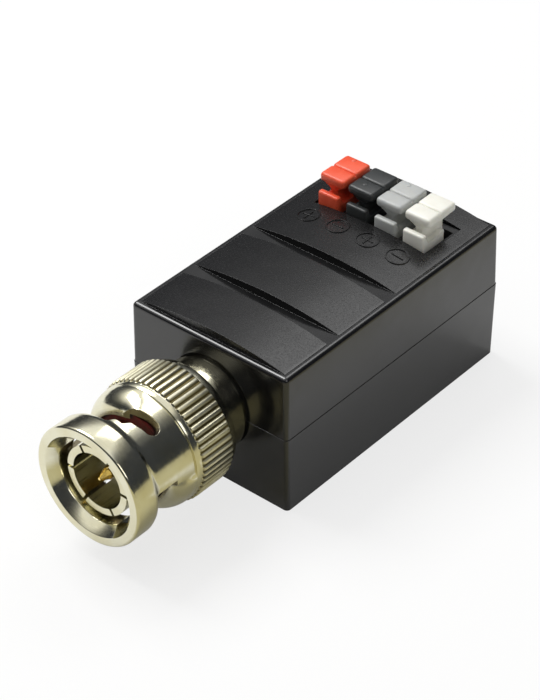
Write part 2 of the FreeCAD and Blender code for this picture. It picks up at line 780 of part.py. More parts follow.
def build_connector_body():
    """Plug body: boss and flange held by the shells, collar, and the stem that carries the nut."""
    collar_end = "(collar_gap + collar_length)"
    groove_radius = "(stem_radius - ring_groove_depth)"
    ring_end = "(ring_place + ring_thickness + press_gap)"
    body = build_turned(
        "connector_body",
        [
            ("sleeve_inner_radius", BOSS_BACK),
            ("boss_radius", BOSS_BACK),
            ("boss_radius", FLANGE_BACK),
            ("flange_radius", FLANGE_BACK),
            ("flange_radius", FLANGE_FRONT),
            ("neck_radius", FLANGE_FRONT),
            ("neck_radius", "collar_gap"),
            ("collar_radius", "collar_gap"),
            ("collar_radius", collar_end),
            ("stem_radius", collar_end),
            ("stem_radius", "ring_place - press_gap"),
            (groove_radius, "ring_place - press_gap"),
            (groove_radius, ring_end),
            ("stem_radius", ring_end),
            ("stem_radius", "stem_end"),
            ("sleeve_outer_radius + press_gap", "stem_end"),
            ("sleeve_outer_radius + press_gap", "sleeve_root"),
            ("sleeve_inner_radius", "sleeve_root"),
        ],
    )
    foot = f"{BOARD_TOP} - axis_height"
    legs = new_sketch(body, "XY_Plane", "leg_outline", f"{BOSS_BACK} - leg_length")
    for side in (-1, 1):
        middle = f"({side} * leg_spread)"
        inner = f"{middle} - leg_width / 2"
        outer = f"{middle} + leg_width / 2"
        draw_rectangle(legs, inner, outer, foot, f"{foot} + leg_height")
    add_pad(body, legs, "leg_length + rib_thickness", "legs")


def build_plug_inside():
    """Contact sleeve, insulator, centre pin, gasket, retaining ring and spring washer."""
    sleeve = build_turned(
        "contact_sleeve",
        [
            ("sleeve_inner_radius", "sleeve_root"),
            ("sleeve_outer_radius", "sleeve_root"),
            ("sleeve_outer_radius", "sleeve_end"),
            ("sleeve_inner_radius", "sleeve_end"),
        ],
    )
    slit = new_sketch(sleeve, "XY_Plane", "slit_outline", "sleeve_end - slit_length")
    draw_rectangle(slit, "0", "2 * sleeve_outer_radius", "0 - slit_width / 2", "slit_width / 2")
    cut = add_pocket(sleeve, slit, "2 * slit_length", "slit", along_normal=True)
    add_polar_pattern(sleeve, [cut], "slit_count", "slits")
    bore = "(pin_radius + press_gap)"
    outer = "(sleeve_inner_radius - press_gap)"
    build_turned(
        "insulator",
        [(bore, BOSS_BACK), (outer, BOSS_BACK), (outer, "insulator_end"), (bore, "insulator_end")],
    )
    tail = f"({BOSS_BACK} - pin_tail)"
    build_turned(
        "centre_pin",
        [
            ("0", tail),
            ("pin_radius", tail),
            ("pin_radius", "pin_end - pin_cone_length"),
            ("pin_tip_radius", "pin_end"),
            ("0", "pin_end"),
        ],
    )
    inner = "(sleeve_outer_radius + press_gap)"
    build_turned(
        "gasket",
        [
            (inner, "stem_end"),
            ("gasket_radius", "stem_end"),
            ("gasket_radius", "gasket_end"),
            (inner, "gasket_end"),
        ],
    )
    build_retaining_ring()
    build_wave_washer()


def build_retaining_ring():
    """Open spring ring, seated in the groove of the stem."""
    body = new_body("retaining_ring")
    section = new_sketch(body, "XZ_Plane", "ring_section")
    inner = "(stem_radius - ring_groove_depth + press_gap)"
    draw_rectangle(section, inner, "ring_outer_radius", "ring_place", "ring_place + ring_thickness")
    add_revolution(body, section, "ring_turning", "360 - ring_opening")
    place_on_plug_axis(body)


def build_wave_washer():
    """Bowed spring washer between the nut's rear wall and the retaining ring."""
    body = new_body("wave_washer")
    ring = new_sketch(body, "XY_Plane", "washer_outline", "washer_seat + running_gap")
    draw_circle(ring, "0", "0", "washer_outer_radius")
    draw_circle(ring, "0", "0", NUT_FLANGE_BORE)
    add_pad(body, ring, "washer_bow + washer_thickness", "washer_ring")
    reach = "(washer_outer_radius + running_gap)"
    bow_radius = f"({reach} * {reach} + washer_bow * washer_bow) / (2 * washer_bow)"
    low = "(washer_seat + running_gap)"
    over = new_sketch(body, "XZ_Plane", "washer_over")
    draw_outline(
        over,
        [
            (reach, f"{low} + washer_thickness"),
            (reach, f"{low} + 2 * washer_bow + washer_thickness"),
            (f"0 - {reach}", f"{low} + 2 * washer_bow + washer_thickness"),
            (f"0 - {reach}", f"{low} + washer_thickness"),
        ],
        {3: ("left", bow_radius)},
    )
    add_pocket(body, over, "4 * washer_outer_radius", "washer_top", midplane=True)
    under = new_sketch(body, "XZ_Plane", "washer_under")
    draw_outline(
        under,
        [(reach, low), (f"0 - {reach}", low)],
        {0: ("right", bow_radius)},
    )
    add_pocket(body, under, "4 * washer_outer_radius", "washer_bottom", midplane=True)
    place_on_plug_axis(body)


def build_coupling_nut():
    """Bayonet coupling nut: knurled grip, barrel with two cam slots, and a flared lip."""
    nut = build_turned(
        "coupling_nut",
        [
            (NUT_FLANGE_BORE, "nut_start"),
            ("nut_rear_radius", "nut_start"),
            ("band_radius", "knurl_start"),
            ("band_radius + knurl_floor", "knurl_start"),
            ("band_radius + knurl_floor", "knurl_end"),
            ("band_radius", "knurl_end"),
            ("barrel_radius + band_step", "band_end"),
            ("barrel_radius", "band_end"),
            ("barrel_radius", "lip_start - lip_flare"),
            ("lip_radius", "lip_start"),
            ("lip_radius", "nut_end - lip_chamfer"),
            ("lip_radius - lip_chamfer", "nut_end"),
            ("mouth_radius", "nut_end"),
            ("nut_bore_radius", "nut_end - mouth_depth"),
            ("nut_bore_radius", "window_back + window_slope"),
            ("chamber_radius", "window_back + window_slope"),
            ("chamber_radius", "washer_seat"),
            (NUT_FLANGE_BORE, "washer_seat"),
        ],
    )
    inside = "sleeve_outer_radius"
    window = new_sketch(nut, "XZ_Plane", "window_section", turn="window_start")
    draw_outline(
        window,
        [
            (inside, "window_back + window_slope"),
            ("chamber_radius", "window_back + window_slope"),
            ("barrel_radius", "window_back"),
            ("cut_reach", "window_back"),
            ("cut_reach", "lip_start - lip_flare"),
            (inside, "lip_start - lip_flare"),
        ],
    )
    window_cut = add_groove(nut, window, "window_sweep", "window")
    channel = new_sketch(nut, "XZ_Plane", "stud_channel_section", turn="stud_channel_start")
    draw_rectangle(channel, inside, "stud_channel_radius", "lip_start - 2 * lip_flare", "nut_end + lip_flare")
    channel_cut = add_groove(nut, channel, "stud_channel_sweep", "stud_channel")
    cam = new_sketch(nut, "XZ_Plane", "cam_slot_outline", turn="cam_aim + 90")
    cam_front = "(cam_back + 2 * cam_end_radius)"
    cam_mouth = "(barrel_radius * sin(window_start - cam_aim))"
    draw_outline(
        cam,
        [
            ("cam_end_place", "cam_back"),
            ("cam_end_place", cam_front),
            ("cam_corner_place", f"{cam_front} + cam_rise"),
            (cam_mouth, f"{cam_front} + cam_rise + cam_corner_size"),
            (cam_mouth, "window_back"),
        ],
        {0: ("left", None)},
    )
    cam_cut = add_pocket(nut, cam, "cut_reach", "cam_slot", along_normal=True)
    add_polar_pattern(nut, [window_cut, channel_cut, cam_cut], "2", "bayonet_slots")
    ridge = new_sketch(nut, "XY_Plane", "knurl_ridge_outline", "knurl_start")
    foot = "(band_radius + knurl_floor / 2)"
    foot_side = f"(knurl_crest + knurl_slope * (knurl_radius - {foot}))"
    draw_outline(
        ridge,
        [
            (foot, f"0 - {foot_side}"),
            ("knurl_radius", "0 - knurl_crest"),
            ("knurl_radius", "knurl_crest"),
            (foot, foot_side),
        ],
    )
    ridge_pad = add_pad(nut, ridge, "knurl_end - knurl_start", "knurl_ridge")
    add_polar_pattern(nut, [ridge_pad], "knurl_count", "knurl")


def build_terminal_housing():
    """Moulded terminal block: four lever wells over spring chambers, and wire holes in its nose."""
    body = new_body("terminal_housing")
    side = f"({ROW_REACH} + block_side)"
    roof = f"({CAVITY_TOP} - {BOARD_TOP} - block_roof_gap)"
    block = new_sketch(body, "XY_Plane", "block_outline")
    draw_rectangle(block, f"0 - {side}", side, "0 - block_front", BLOCK_REAR)
    add_pad(body, block, roof, "block")
    neck_side = f"({OPENING_SIDE} - opening_gap)"
    neck = new_sketch(body, "XY_Plane", "neck_outline", roof)
    draw_rectangle(
        neck, f"0 - {neck_side}", neck_side, "opening_gap - opening_front", "opening_rear - opening_gap"
    )
    add_pad(body, neck, f"{BLOCK_TOP} - {roof}", "neck")
    nose_end = "(terminal_place - nose_recess)"
    nose = new_sketch(body, "XY_Plane", "nose_outline", "nose_floor")
    draw_rectangle(nose, f"0 - {NOSE_SIDE}", NOSE_SIDE, f"{BLOCK_REAR} - wall_thickness", nose_end)
    add_pad(body, nose, "nose_top - nose_floor", "nose")
    first = f"(0 - {ROW_REACH})"
    chamber = new_sketch(body, "XY_Plane", "chamber_outline", "chamber_floor")
    draw_rectangle(
        chamber,
        f"{first} - chamber_width / 2",
        f"{first} + chamber_width / 2",
        "0 - chamber_front - slide_gap",
        "chamber_rear",
    )
    chamber_height = f"{CHAMBER_TOP} - chamber_floor"
    chamber_cut = add_pocket(body, chamber, chamber_height, "spring_chamber", along_normal=True)
    passage = new_sketch(body, "XY_Plane", "passage_outline", WELL_FLOOR)
    half = "(shank_width / 2 + slide_gap)"
    draw_rectangle(
        passage,
        f"{first} - {half}",
        f"{first} + {half}",
        "0 - shank_front - slide_gap",
        "shank_rear + slide_gap",
    )
    passage_cut = add_pocket(body, passage, "well_thickness", "shank_passage")
    well = new_sketch(body, "XY_Plane", "well_outline", BLOCK_TOP)
    half = "(tray_width / 2 + slide_gap)"
    draw_rectangle(
        well, f"{first} - {half}", f"{first} + {half}", "0 - block_front", "tray_rear + slide_gap"
    )
    well_cut = add_pocket(body, well, "well_depth", "lever_well")
    wire = new_sketch(body, "XZ_Plane", "wire_hole_outline", "0 - chamber_rear")
    draw_circle(wire, first, "wire_hole_height", "wire_hole_radius")
    wire_cut = add_pocket(body, wire, f"2 * {nose_end}", "wire_hole")
    lead = new_sketch(body, "XY_Plane", "lead_hole_outline", "chamber_floor")
    draw_lead_hole(lead, first, "0")
    lead_cut = add_pocket(body, lead, "2 * chamber_floor", "lead_hole")
    cuts = [chamber_cut, passage_cut, well_cut, wire_cut, lead_cut]
    add_row_pattern(body, cuts, "terminal_count", "terminal_pitch", "four_terminals")
    place_body(body, TERMINAL_MIDDLE, TERMINAL_PLACE, BOARD_TOP)


def build_contact(colour, index):
    """Terminal contact: clamping strip, side blade and the lead soldered through the board."""
    body = new_body(f"{colour}_contact")
    outer = "(blade_place + blade_thickness / 2)"
    section = new_sketch(body, "XZ_Plane", "contact_section", "0 - strip_rear")
    draw_outline(
        section,
        [
            (f"{outer} - blade_thickness", "chamber_floor"),
            (outer, "chamber_floor"),
            (outer, "strip_height + blade_thickness"),
            (f"{outer} - strip_width", "strip_height + blade_thickness"),
            (f"{outer} - strip_width", "strip_height"),
            (f"{outer} - blade_thickness", "strip_height"),
        ],
    )
    add_pad(body, section, "strip_rear - strip_front", "contact_strip")
    relief = new_sketch(body, "YZ_Plane", "contact_relief", f"{outer} - blade_thickness - slide_gap")
    draw_rectangle(relief, "strip_front - slide_gap", "blade_front", "0", "strip_height")
    add_pocket(body, relief, "blade_thickness + 2 * slide_gap", "blade_relief", along_normal=True)
    lead = new_sketch(body, "XY_Plane", "lead_outline", "chamber_floor + blade_thickness")
    draw_rectangle(
        lead,
        "blade_place - blade_thickness / 2",
        "blade_place + blade_thickness / 2",
        "lead_place - lead_length / 2",
        "lead_place + lead_length / 2",
    )
    foot = "(chamber_floor + blade_thickness + board_thickness + lead_reach)"
    lead_pad = add_pad(body, lead, foot, "lead")
    lead_pad.Reversed = True
    place_body(body, terminal_across(index), TERMINAL_PLACE, BOARD_TOP)


def build_spring(colour, index):
    """Flat clamping spring, bent into a U that lies on its side under the lever."""
    body = new_body(f"{colour}_spring")
    low = "chamber_floor"
    high = "(chamber_floor + spring_height)"
    section = new_sketch(body, "YZ_Plane", "spring_section", "spring_offset")
    draw_outline(
        section,
        [
            ("spring_bend_place", low),
            ("spring_end", low),
            ("spring_end", f"{low} + spring_thickness"),
            ("spring_bend_place", f"{low} + spring_thickness"),
            ("spring_bend_place", f"{high} - spring_thickness"),
            ("spring_end", f"{high} - spring_thickness"),
            ("spring_end", high),
            ("spring_bend_place", high),
        ],
        {3: ("left", None), 7: ("right", None)},
    )
    add_pad(body, section, "spring_width", "spring_strip", midplane=True)
    place_body(body, terminal_across(index), TERMINAL_PLACE, BOARD_TOP)


def build_lever(colour, index):
    """Push lever: finger pad with a cross groove, web, tray, and the shank that bears on the spring."""
    body = new_body(f"{colour}_lever")
    foot = f"(chamber_floor + spring_height - {BLOCK_TOP})"
    shank = new_sketch(body, "XY_Plane", "shank_outline", foot)
    draw_rectangle(shank, "0 - shank_width / 2", "shank_width / 2", "0 - shank_front", "shank_rear")
    add_pad(body, shank, f"tray_bottom - {foot}", "shank")
    catch = "(0 - well_depth - well_thickness - barb_gap)"
    barbs = new_sketch(body, "XY_Plane", "barb_outline", f"{catch} - barb_height")
    draw_rectangle(
        barbs,
        "0 - shank_width / 2",
        "shank_width / 2",
        "0 - shank_front - barb_reach",
        "shank_rear + barb_reach",
    )
    add_pad(body, barbs, "barb_height", "barbs")
    tray = new_sketch(body, "YZ_Plane", "tray_section")
    draw_outline(
        tray,
        [
            ("0 - tray_front", "tray_bottom"),
            ("tray_rear", "tray_bottom"),
            ("tray_rear", "tray_tail_rise - tray_plate / 2"),
            ("tray_rear - tray_plate", "tray_tail_rise"),
            ("tray_dip_place", "tray_dip"),
            ("tray_plate - tray_front", "tray_dip"),
            ("tray_plate - tray_front", "tray_top"),
            ("0 - tray_front", "tray_top"),
        ],
    )
    add_pad(body, tray, "tray_width", "tray", midplane=True)
    under = "(lever_rise - lever_thickness)"
    web = new_sketch(body, "XY_Plane", "web_outline", "tray_bottom")
    draw_outline(
        web,
        [
            ("0 - web_front_width / 2", "0 - web_front"),
            ("web_front_width / 2", "0 - web_front"),
            ("web_rear_width / 2", "web_rear"),
            ("0 - web_rear_width / 2", "web_rear"),
        ],
    )
    add_pad(body, web, f"{under} - tray_bottom + lever_thickness / 2", "web")
    flare = new_sketch(body, "XZ_Plane", "flare_section", "0 - web_rear + web_flare_height")
    draw_outline(
        flare,
        [
            ("0 - web_front_width / 2", f"{under} - web_flare_height"),
            ("web_front_width / 2", f"{under} - web_flare_height"),
            ("web_flare_width / 2", under),
            ("web_flare_width / 2", f"{under} + lever_thickness / 2"),
            ("0 - web_flare_width / 2", f"{under} + lever_thickness / 2"),
            ("0 - web_flare_width / 2", under),
        ],
    )
    add_pad(body, flare, "web_front + web_rear - web_flare_height", "flare")
    pad = new_sketch(body, "XY_Plane", "finger_pad_outline", under)
    draw_rectangle(
        pad, "0 - lever_width / 2", "lever_width / 2", "0 - lever_length / 2", "lever_length / 2"
    )
    add_pad(body, pad, "lever_thickness", "finger_pad")
    side = value_of("lever_width / 2")
    end = value_of("lever_length / 2")

    def is_pad_corner(edge):
        middle = edge.BoundBox.Center
        return abs(abs(middle.x) - side) < SAME_PLACE and abs(abs(middle.y) - end) < SAME_PLACE

    add_edge_feature(body, "Chamfer", is_pad_corner, "lever_corner", "finger_pad_corners")
    add_rim_chamfer(body, "lever_rise", "lever_chamfer", "finger_pad_edges")
    groove = new_sketch(body, "YZ_Plane", "finger_groove_section", "lever_width / 2 - lever_groove_margin")
    draw_outline(
        groove,
        [
            ("lever_groove_place", "lever_rise - lever_groove_depth"),
            ("lever_groove_place + lever_groove_width", "lever_rise + lever_groove_depth"),
            ("lever_groove_place - lever_groove_width", "lever_rise + lever_groove_depth"),
        ],
    )
    add_pocket(body, groove, "2 * lever_width", "finger_groove")
    place_body(body, terminal_across(index), TERMINAL_PLACE, "case_height + block_rise")


def build_terminals():
    """The terminal block and, for each wire, its contact, spring and lever."""
    build_terminal_housing()
    for index, colour in enumerate(LEVER_COLOURS):
        build_contact(colour, index)
        build_spring(colour, index)
        build_lever(colour, index)


def check_document():
    """Stop if any object failed, or if a sub-part isn't a valid solid."""
    for item in doc.Objects:
        if "Invalid" in item.State or "Error" in item.State:
            raise ValueError(f"{item.Name} failed: {item.State}")
    for body in sub_parts:
        if body.Shape.isNull() or not body.Shape.isValid() or not body.Shape.Solids:
            raise ValueError(f"{body.Label} is not a valid solid")


def write_parts():
    """One STEP file for each sub-part."""
    os.makedirs("parts", exist_ok=True)
    for body in sub_parts:
        body.Shape.exportStep(f"parts/{body.Label}.step")
        box = body.Shape.BoundBox
        count = len(body.Shape.Solids)
        print(f"{body.Label}: {count} solid, volume {body.Shape.Volume:.1f}, top {box.ZMax:.2f}")


fill_sheet()
build_lower_case()
build_upper_case()
build_circuit_board()
build_transformer()
build_board_components()
build_connector_body()
build_plug_inside()
build_coupling_nut()
build_terminals()
doc.recompute()
check_document()
write_parts()
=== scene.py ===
import json
import math

import bmesh
import bpy
from mathutils import Matrix, Vector


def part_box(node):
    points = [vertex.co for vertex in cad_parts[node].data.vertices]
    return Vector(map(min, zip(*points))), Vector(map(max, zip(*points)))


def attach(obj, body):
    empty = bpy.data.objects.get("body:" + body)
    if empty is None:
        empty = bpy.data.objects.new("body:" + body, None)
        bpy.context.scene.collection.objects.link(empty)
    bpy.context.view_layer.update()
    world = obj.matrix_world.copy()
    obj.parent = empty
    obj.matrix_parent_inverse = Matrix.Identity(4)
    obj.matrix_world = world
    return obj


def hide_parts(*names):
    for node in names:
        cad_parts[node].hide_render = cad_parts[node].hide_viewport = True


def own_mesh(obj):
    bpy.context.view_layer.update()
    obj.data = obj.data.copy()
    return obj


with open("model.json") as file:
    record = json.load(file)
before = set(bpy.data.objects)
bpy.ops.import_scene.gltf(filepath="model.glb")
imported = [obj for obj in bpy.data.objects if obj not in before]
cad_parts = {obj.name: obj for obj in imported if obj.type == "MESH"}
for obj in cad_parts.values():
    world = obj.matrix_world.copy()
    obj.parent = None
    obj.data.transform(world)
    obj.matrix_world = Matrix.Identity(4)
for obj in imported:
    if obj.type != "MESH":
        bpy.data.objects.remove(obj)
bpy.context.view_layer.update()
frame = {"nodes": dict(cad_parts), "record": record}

MM = 0.001

# Edges that bend by more degrees than this stay sharp, on hard pieces and on soft-edged ones
HARD_BEND = 30
SOFT_BEND = 50

# The case in millimetres: its top and front, and the crowned panels that rise from its top
CASE_TOP = 17.2
CASE_FRONT = -17.9
PANEL_HALF_WIDTH = 9.85
PANEL_SHOULDER = CASE_TOP + 0.05
PANEL_CROWN = 0.95

# The marks in front of the levers: rings round a plus or a minus
MARK_SIGNS = "+-+-"
MARK_MIDDLE = 0.15
MARK_PITCH = 4.1
MARK_PLACE = 5.5
MARK_RADIUS = 1.25
MARK_STEPS = 48
MARK_BAR = 0.75
MARK_WIDTH = 0.22
# A mark's moulded line: places across it as shares of its width, and their rise from the panel
MARK_SECTION = ((-0.5, -0.04), (-0.3, 0.11), (0.3, 0.11), (0.5, -0.04))

# The levers: each one's place across the case, and where the moulding pip stands on its pad.
# Lengths are from the levers' middle, and heights from the terminal block's top.
LEVER_PLACES = {"red": -5.41, "black": -1.51, "grey": 2.39, "white": 6.29}
LEVER_PIPS = {"red": (-0.31, 1.84), "black": (-0.25, -1.07), "grey": (-0.39, 1.66)}
# A pip's layers: a radius, and its rise from the pad's top
PIP_LAYERS = ((0.27, -0.05), (0.26, 0.02), (0.2, 0.05), (0.08, 0.065))
PIP_STEPS = 16
LEVER_MIDDLE = 11.15
BLOCK_TOP = 17.4
PAD_HALF_WIDTH = 1.7
PAD_HALF_LENGTH = 2.4
PAD_HEIGHTS = (2.85, 3.93)
PAD_ROUNDING = 0.36
# The groove between the pad's two lobes, and the core that joins them under it
PAD_NOTCH = (-0.21, -0.19)
CORE_HALF_LENGTH = 1.2
CORE_BELOW = 0.02
CORE_ABOVE = 0.33
CORE_ASIDE = 0.03
CORE_ROUNDING = 0.2
TRAY_SIDES = (-1.42, 1.36)
TRAY_SECTION = [
    (-3.05, -1.0), (0.85, -1.0), (0.85, 1.15), (0.05, 1.15),
    (-0.5, 0.75), (-2.3, 0.75), (-2.3, 1.98), (-3.05, 1.98),
]
TRAY_ROUNDING = 0.24
# The web between tray and pad: it flares over its last part, at each side by a share of the flare
WEB_ENDS = (-2.0, 1.2)
WEB_HALF_WIDTHS = (0.5, 0.85)
WEB_FOOT = -0.9
WEB_IN_PAD = 0.3
WEB_FLARE = 0.9
WEB_FLARE_STEPS = 8
WEB_FLARE_CURVE = 1.6
WEB_SPREAD = 0.75
WEB_SHARES = {"front": 1.0, "rear": 0.6, "start": 0.2, "end": 0.3}
WEB_CORNER = 0.12
SHANK_HALF_WIDTH = 1.25
SHANK_ENDS = (-2.5, 0.3)
SHANK_TOP = -0.8
SHANK_ROUNDING = 0.06
BARB_REACH = 0.3
BARB_RISE = (-4.15, -3.35)
# The gap over the spring
SPRING_GAP = 0.03

# The coupling nut in millimetres: lengths along its axis from the case's front, and radii
PLUG_HEIGHT = 9.5
NUT_START = 3.1
NUT_SECTIONS = 240
REAR_RADIUS = 6.45
RIDGE_START = 4.17
RIDGE_END = 8.73
RIDGE_RADIUS = 7.2
RIDGE_COUNT = 57
BAND_RADIUS = 6.93
BAND_END = 9.4
BARREL_RADIUS = 6.66
BARREL_GAP = 0.02
BARREL_STEPS = 36
LIP_START = 15.15
LIP_HALF_SLOPE = 0.5
LIP_RADIUS = 6.95
RIM_ROUNDING = 0.32
RIM_STEPS = 4
NUT_END = 18.2
MOUTH_RADIUS = 5.75
MOUTH_DEPTH = 1.1
BORE_RADIUS = 4.95
CHAMBER_RADIUS = 5.6
CHAMBER_END = 11.8
CHAMBER_START = 4.4
REAR_BORE = 4.9
# The nut's section up to the barrel, and from the mouth back to the rear bore
NUT_REAR = [
    (NUT_START, REAR_BORE),
    (NUT_START, REAR_RADIUS - 0.05),
    (NUT_START + 0.1, REAR_RADIUS + 0.1),
    (NUT_START + 0.25, REAR_RADIUS + 0.17),
    (RIDGE_START - 0.01, REAR_RADIUS + 0.24),
    (RIDGE_START, BAND_RADIUS - 0.04),
    (RIDGE_START + 0.05, BAND_RADIUS),
    (RIDGE_END, BAND_RADIUS),
    (BAND_END - 0.1, BAND_RADIUS - 0.03),
    (BAND_END, BAND_RADIUS - 0.09),
]
NUT_INSIDE = [
    (NUT_END, MOUTH_RADIUS + 0.08),
    (NUT_END - 0.08, MOUTH_RADIUS),
    (NUT_END - MOUTH_DEPTH, BORE_RADIUS + 0.06),
    (NUT_END - MOUTH_DEPTH - 0.12, BORE_RADIUS),
    (CHAMBER_END, BORE_RADIUS),
    (CHAMBER_END, CHAMBER_RADIUS),
    (CHAMBER_START, CHAMBER_RADIUS),
    (CHAMBER_START, REAR_BORE),
]
# The rounded shoulder behind each slot, an ellipse in length and radius. It grows out of the
# barrel between the first two turns and ends between the second two, where the nut's sections
# stand closer together.
SHOULDER_START = 9.5
SHOULDER_REACH = 2.55
SHOULDER_END = SHOULDER_START + SHOULDER_REACH
SHOULDER_FOOT = 4.95
SHOULDER_RISE = 1.97
SHOULDER_BACK_RADIUS = LIP_RADIUS - 0.03
SHOULDER_GROWS = (74, 100)
SHOULDER_ENDS = (172, 180)
SHOULDER_FINE_TURNS = (176.75, 177.25, 177.75, 178.25)
# A ridge of the knurl: places as shares of the pitch, and radii. Its ends fall to the band's
# radius: lengths, and shares of its height.
RIDGE_FLANK = ((0.42, BAND_RADIUS + 0.02), (0.30, RIDGE_RADIUS - 0.12), (0.17, RIDGE_RADIUS - 0.02))
RIDGE_SECTION = [
    (-0.5, BAND_RADIUS + 0.02),
    *((-place, radius) for place, radius in RIDGE_FLANK),
    (0, RIDGE_RADIUS),
    *reversed(RIDGE_FLANK),
]
RIDGE_ROWS = [
    (RIDGE_START, 0.0), (RIDGE_START + 0.12, 0.75), (RIDGE_START + 0.3, 1.0),
    (RIDGE_END - 0.3, 1.0), (RIDGE_END - 0.1, 0.7), (RIDGE_END, 0.1),
]
RIDGE_FOOT = BAND_RADIUS - 0.02
RIDGE_INSIDE = BAND_RADIUS - 0.2

# Slots and channels come twice, half a turn apart
HALVES = (0, 180)
# The bayonet slots: where each edge lies, how far it shifts and between which turns it does
SLOT_REAR, SLOT_REAR_SHIFT, SLOT_REAR_TURNS = 11.2, 0.84, (62, 102)
POCKET, POCKET_SHIFT, POCKET_TURNS = 13.05, 0.35, (58, 72)
DETENT_SHIFT, DETENT_TURNS = 0.8, (72, 78)
WINDOW_TURNS = (84, 91)
SLOT_TURNS = (*range(61, 105), *range(105, 186, 5))
# The slot's round end: the turn it starts from, how far it reaches, and half its width
SLOT_END_TURN, SLOT_END_REACH, SLOT_END_HALF_WIDTH = 59.5, 8.2, 0.925
SLOT_END_STEPS = 9
SLOT_DEPTHS = (4.4, 8.5)
# The channels in the lip that the jack's studs slide in through
CHANNEL_TURNS = range(123, 156, 4)
CHANNEL_ENDS = (LIP_START - 0.6, NUT_END + 0.4)
CHANNEL_DEPTHS = (4.4, 5.85)

# Moulded and coated finishes: two close shades, roughness, the grain's size and depth in
# millimetres, and whether it is metal
PLAIN_FINISHES = {
    "insulator_plastic": ((0.74, 0.73, 0.68), (0.68, 0.67, 0.61), 0.4, 0.2, 0.004, 0.0),
    "board_laminate": ((0.02, 0.10, 0.04), (0.015, 0.08, 0.03), 0.35, 0.3, 0.006, 0.0),
    "ferrite": ((0.03, 0.03, 0.032), (0.05, 0.05, 0.05), 0.6, 0.15, 0.01, 0.0),
    "copper_wire": ((0.60, 0.20, 0.08), (0.50, 0.15, 0.06), 0.3, 0.2, 0.02, 1.0),
    "component_plastic": ((0.03, 0.03, 0.035), (0.04, 0.04, 0.045), 0.4, 0.15, 0.008, 0.0),
    "terminal_plastic": ((0.012, 0.012, 0.012), (0.018, 0.018, 0.018), 0.42, 0.15, 0.008, 0.0),
    "tin_plate": ((0.70, 0.70, 0.68), (0.62, 0.62, 0.60), 0.3, 0.2, 0.004, 1.0),
    "spring_steel": ((0.55, 0.55, 0.54), (0.48, 0.48, 0.47), 0.28, 0.2, 0.004, 1.0),
}
LEVER_FINISHES = {
    "red_plastic": ((0.86, 0.115, 0.05), (0.82, 0.095, 0.038)),
    "black_plastic": ((0.030, 0.033, 0.033), (0.036, 0.039, 0.039)),
    "grey_plastic": ((0.49, 0.50, 0.48), (0.45, 0.46, 0.45)),
    "white_plastic": ((0.86, 0.85, 0.78), (0.82, 0.81, 0.73)),
}
LEVER_ROUGHNESS = 0.38
# The shades of the other finishes. MEAN is what a surface has without its pattern.
CASE_MEAN = (0.006, 0.006, 0.0062)
CASE_WALL = (0.0055, 0.0055, 0.006)
CASE_PANEL = (0.0095, 0.0095, 0.0098)
CASE_CLOUD = (0.0075, 0.0075, 0.0078)
NICKEL_MEAN = (0.74, 0.70, 0.52)
NICKEL_BRIGHT = (0.77, 0.745, 0.58)
NICKEL_WARM = (0.70, 0.66, 0.46)
# Painted shade, dark brown, in the knurl's grooves and on the nut's inner bores
NICKEL_GROOVE_SHADE = (0.17, 0.14, 0.06)
NICKEL_BORE_SHADE = (0.15, 0.12, 0.07)
GOLD = (0.95, 0.70, 0.24)
# The gasket's red, and the dark brown of its painted shade where it sits deep
RUBBER_RED = (0.30, 0.014, 0.009)
RUBBER_PAINTED_SHADE = (0.020, 0.008, 0.005)

# The floor's size in metres and its colours, the share of white light that it gives off to the
# camera, and how much of that share reflections see
FLOOR_HALF_SIZE = 0.5
FLOOR_COLOUR = (0.86, 0.86, 0.85)
# The painted shade, dark and warm, that reflections see on the floor
FLOOR_MIRRORED_SHADE = (0.50, 0.46, 0.26)
FLOOR_GLOW = 0.75
FLOOR_GLOW_MIRRORED = 0.15
# Where reflections see the floor in painted shade, dark and warm, in millimetres: beside the plug, and to
# the case's right
MIRRORED_SHADE_ALONG = (-17, -20)
MIRRORED_SHADE_ACROSS = (2, 8)
MIRRORED_SHADE_RIGHT = (23, 30)

# The studio that shiny surfaces mirror: white above and dark cards below, from place to brightness
STUDIO_TILT = -0.3
STUDIO_STOPS = [(0.0, 0.02), (0.50, 0.03), (0.66, 0.16), (0.74, 0.42), (0.83, 1.0), (1.0, 0.9)]
STUDIO_CARDS = (0.02, 0.024, 0.034, 1)
WHITE = (1, 1, 1, 1)

# The photograph's camera: where it aims, and how far to the side and above it stands
IMAGE_HEIGHT = 700
SENSOR_WIDTH = 36.0
FOCAL_PIXELS = 2389.94
CAMERA_TARGET = Vector((0, -6.0, 8.0)) * MM
CAMERA_DISTANCE = 256.25 * MM
CAMERA_OFFSET = (1.40 * MM, -0.83 * MM)
CAMERA_AZIMUTH = 41.07
CAMERA_ELEVATION = 37.31
CAMERA_ROLL = -0.92


class Nodes:
    """A node tree, with short ways to add nodes and join them."""

    def __init__(self, tree):
        self.tree = tree

    def node(self, kind, **settings):
        made = self.tree.nodes.new("ShaderNode" + kind)
        for key, value in settings.items():
            setattr(made, key, value)
        return made

    def feed(self, socket, value):
        """Join a socket to another node's output, or give it a plain value."""
        if isinstance(value, bpy.types.NodeSocket):
            self.tree.links.new(value, socket)
        else:
            socket.default_value = value

    def calc(self, operation, first, second=0.0, third=0.0, clamp=False):
        made = self.node("Math", operation=operation, use_clamp=clamp)
        for socket, value in zip(made.inputs, (first, second, third)):
            self.feed(socket, value)
        return made.outputs[0]

    def blend(self, share, first, second):
        """Two shaders mixed by a share."""
        made = self.node("MixShader")
        for socket, value in zip(made.inputs, (share, first, second)):
            self.feed(socket, value)
        return made.outputs[0]


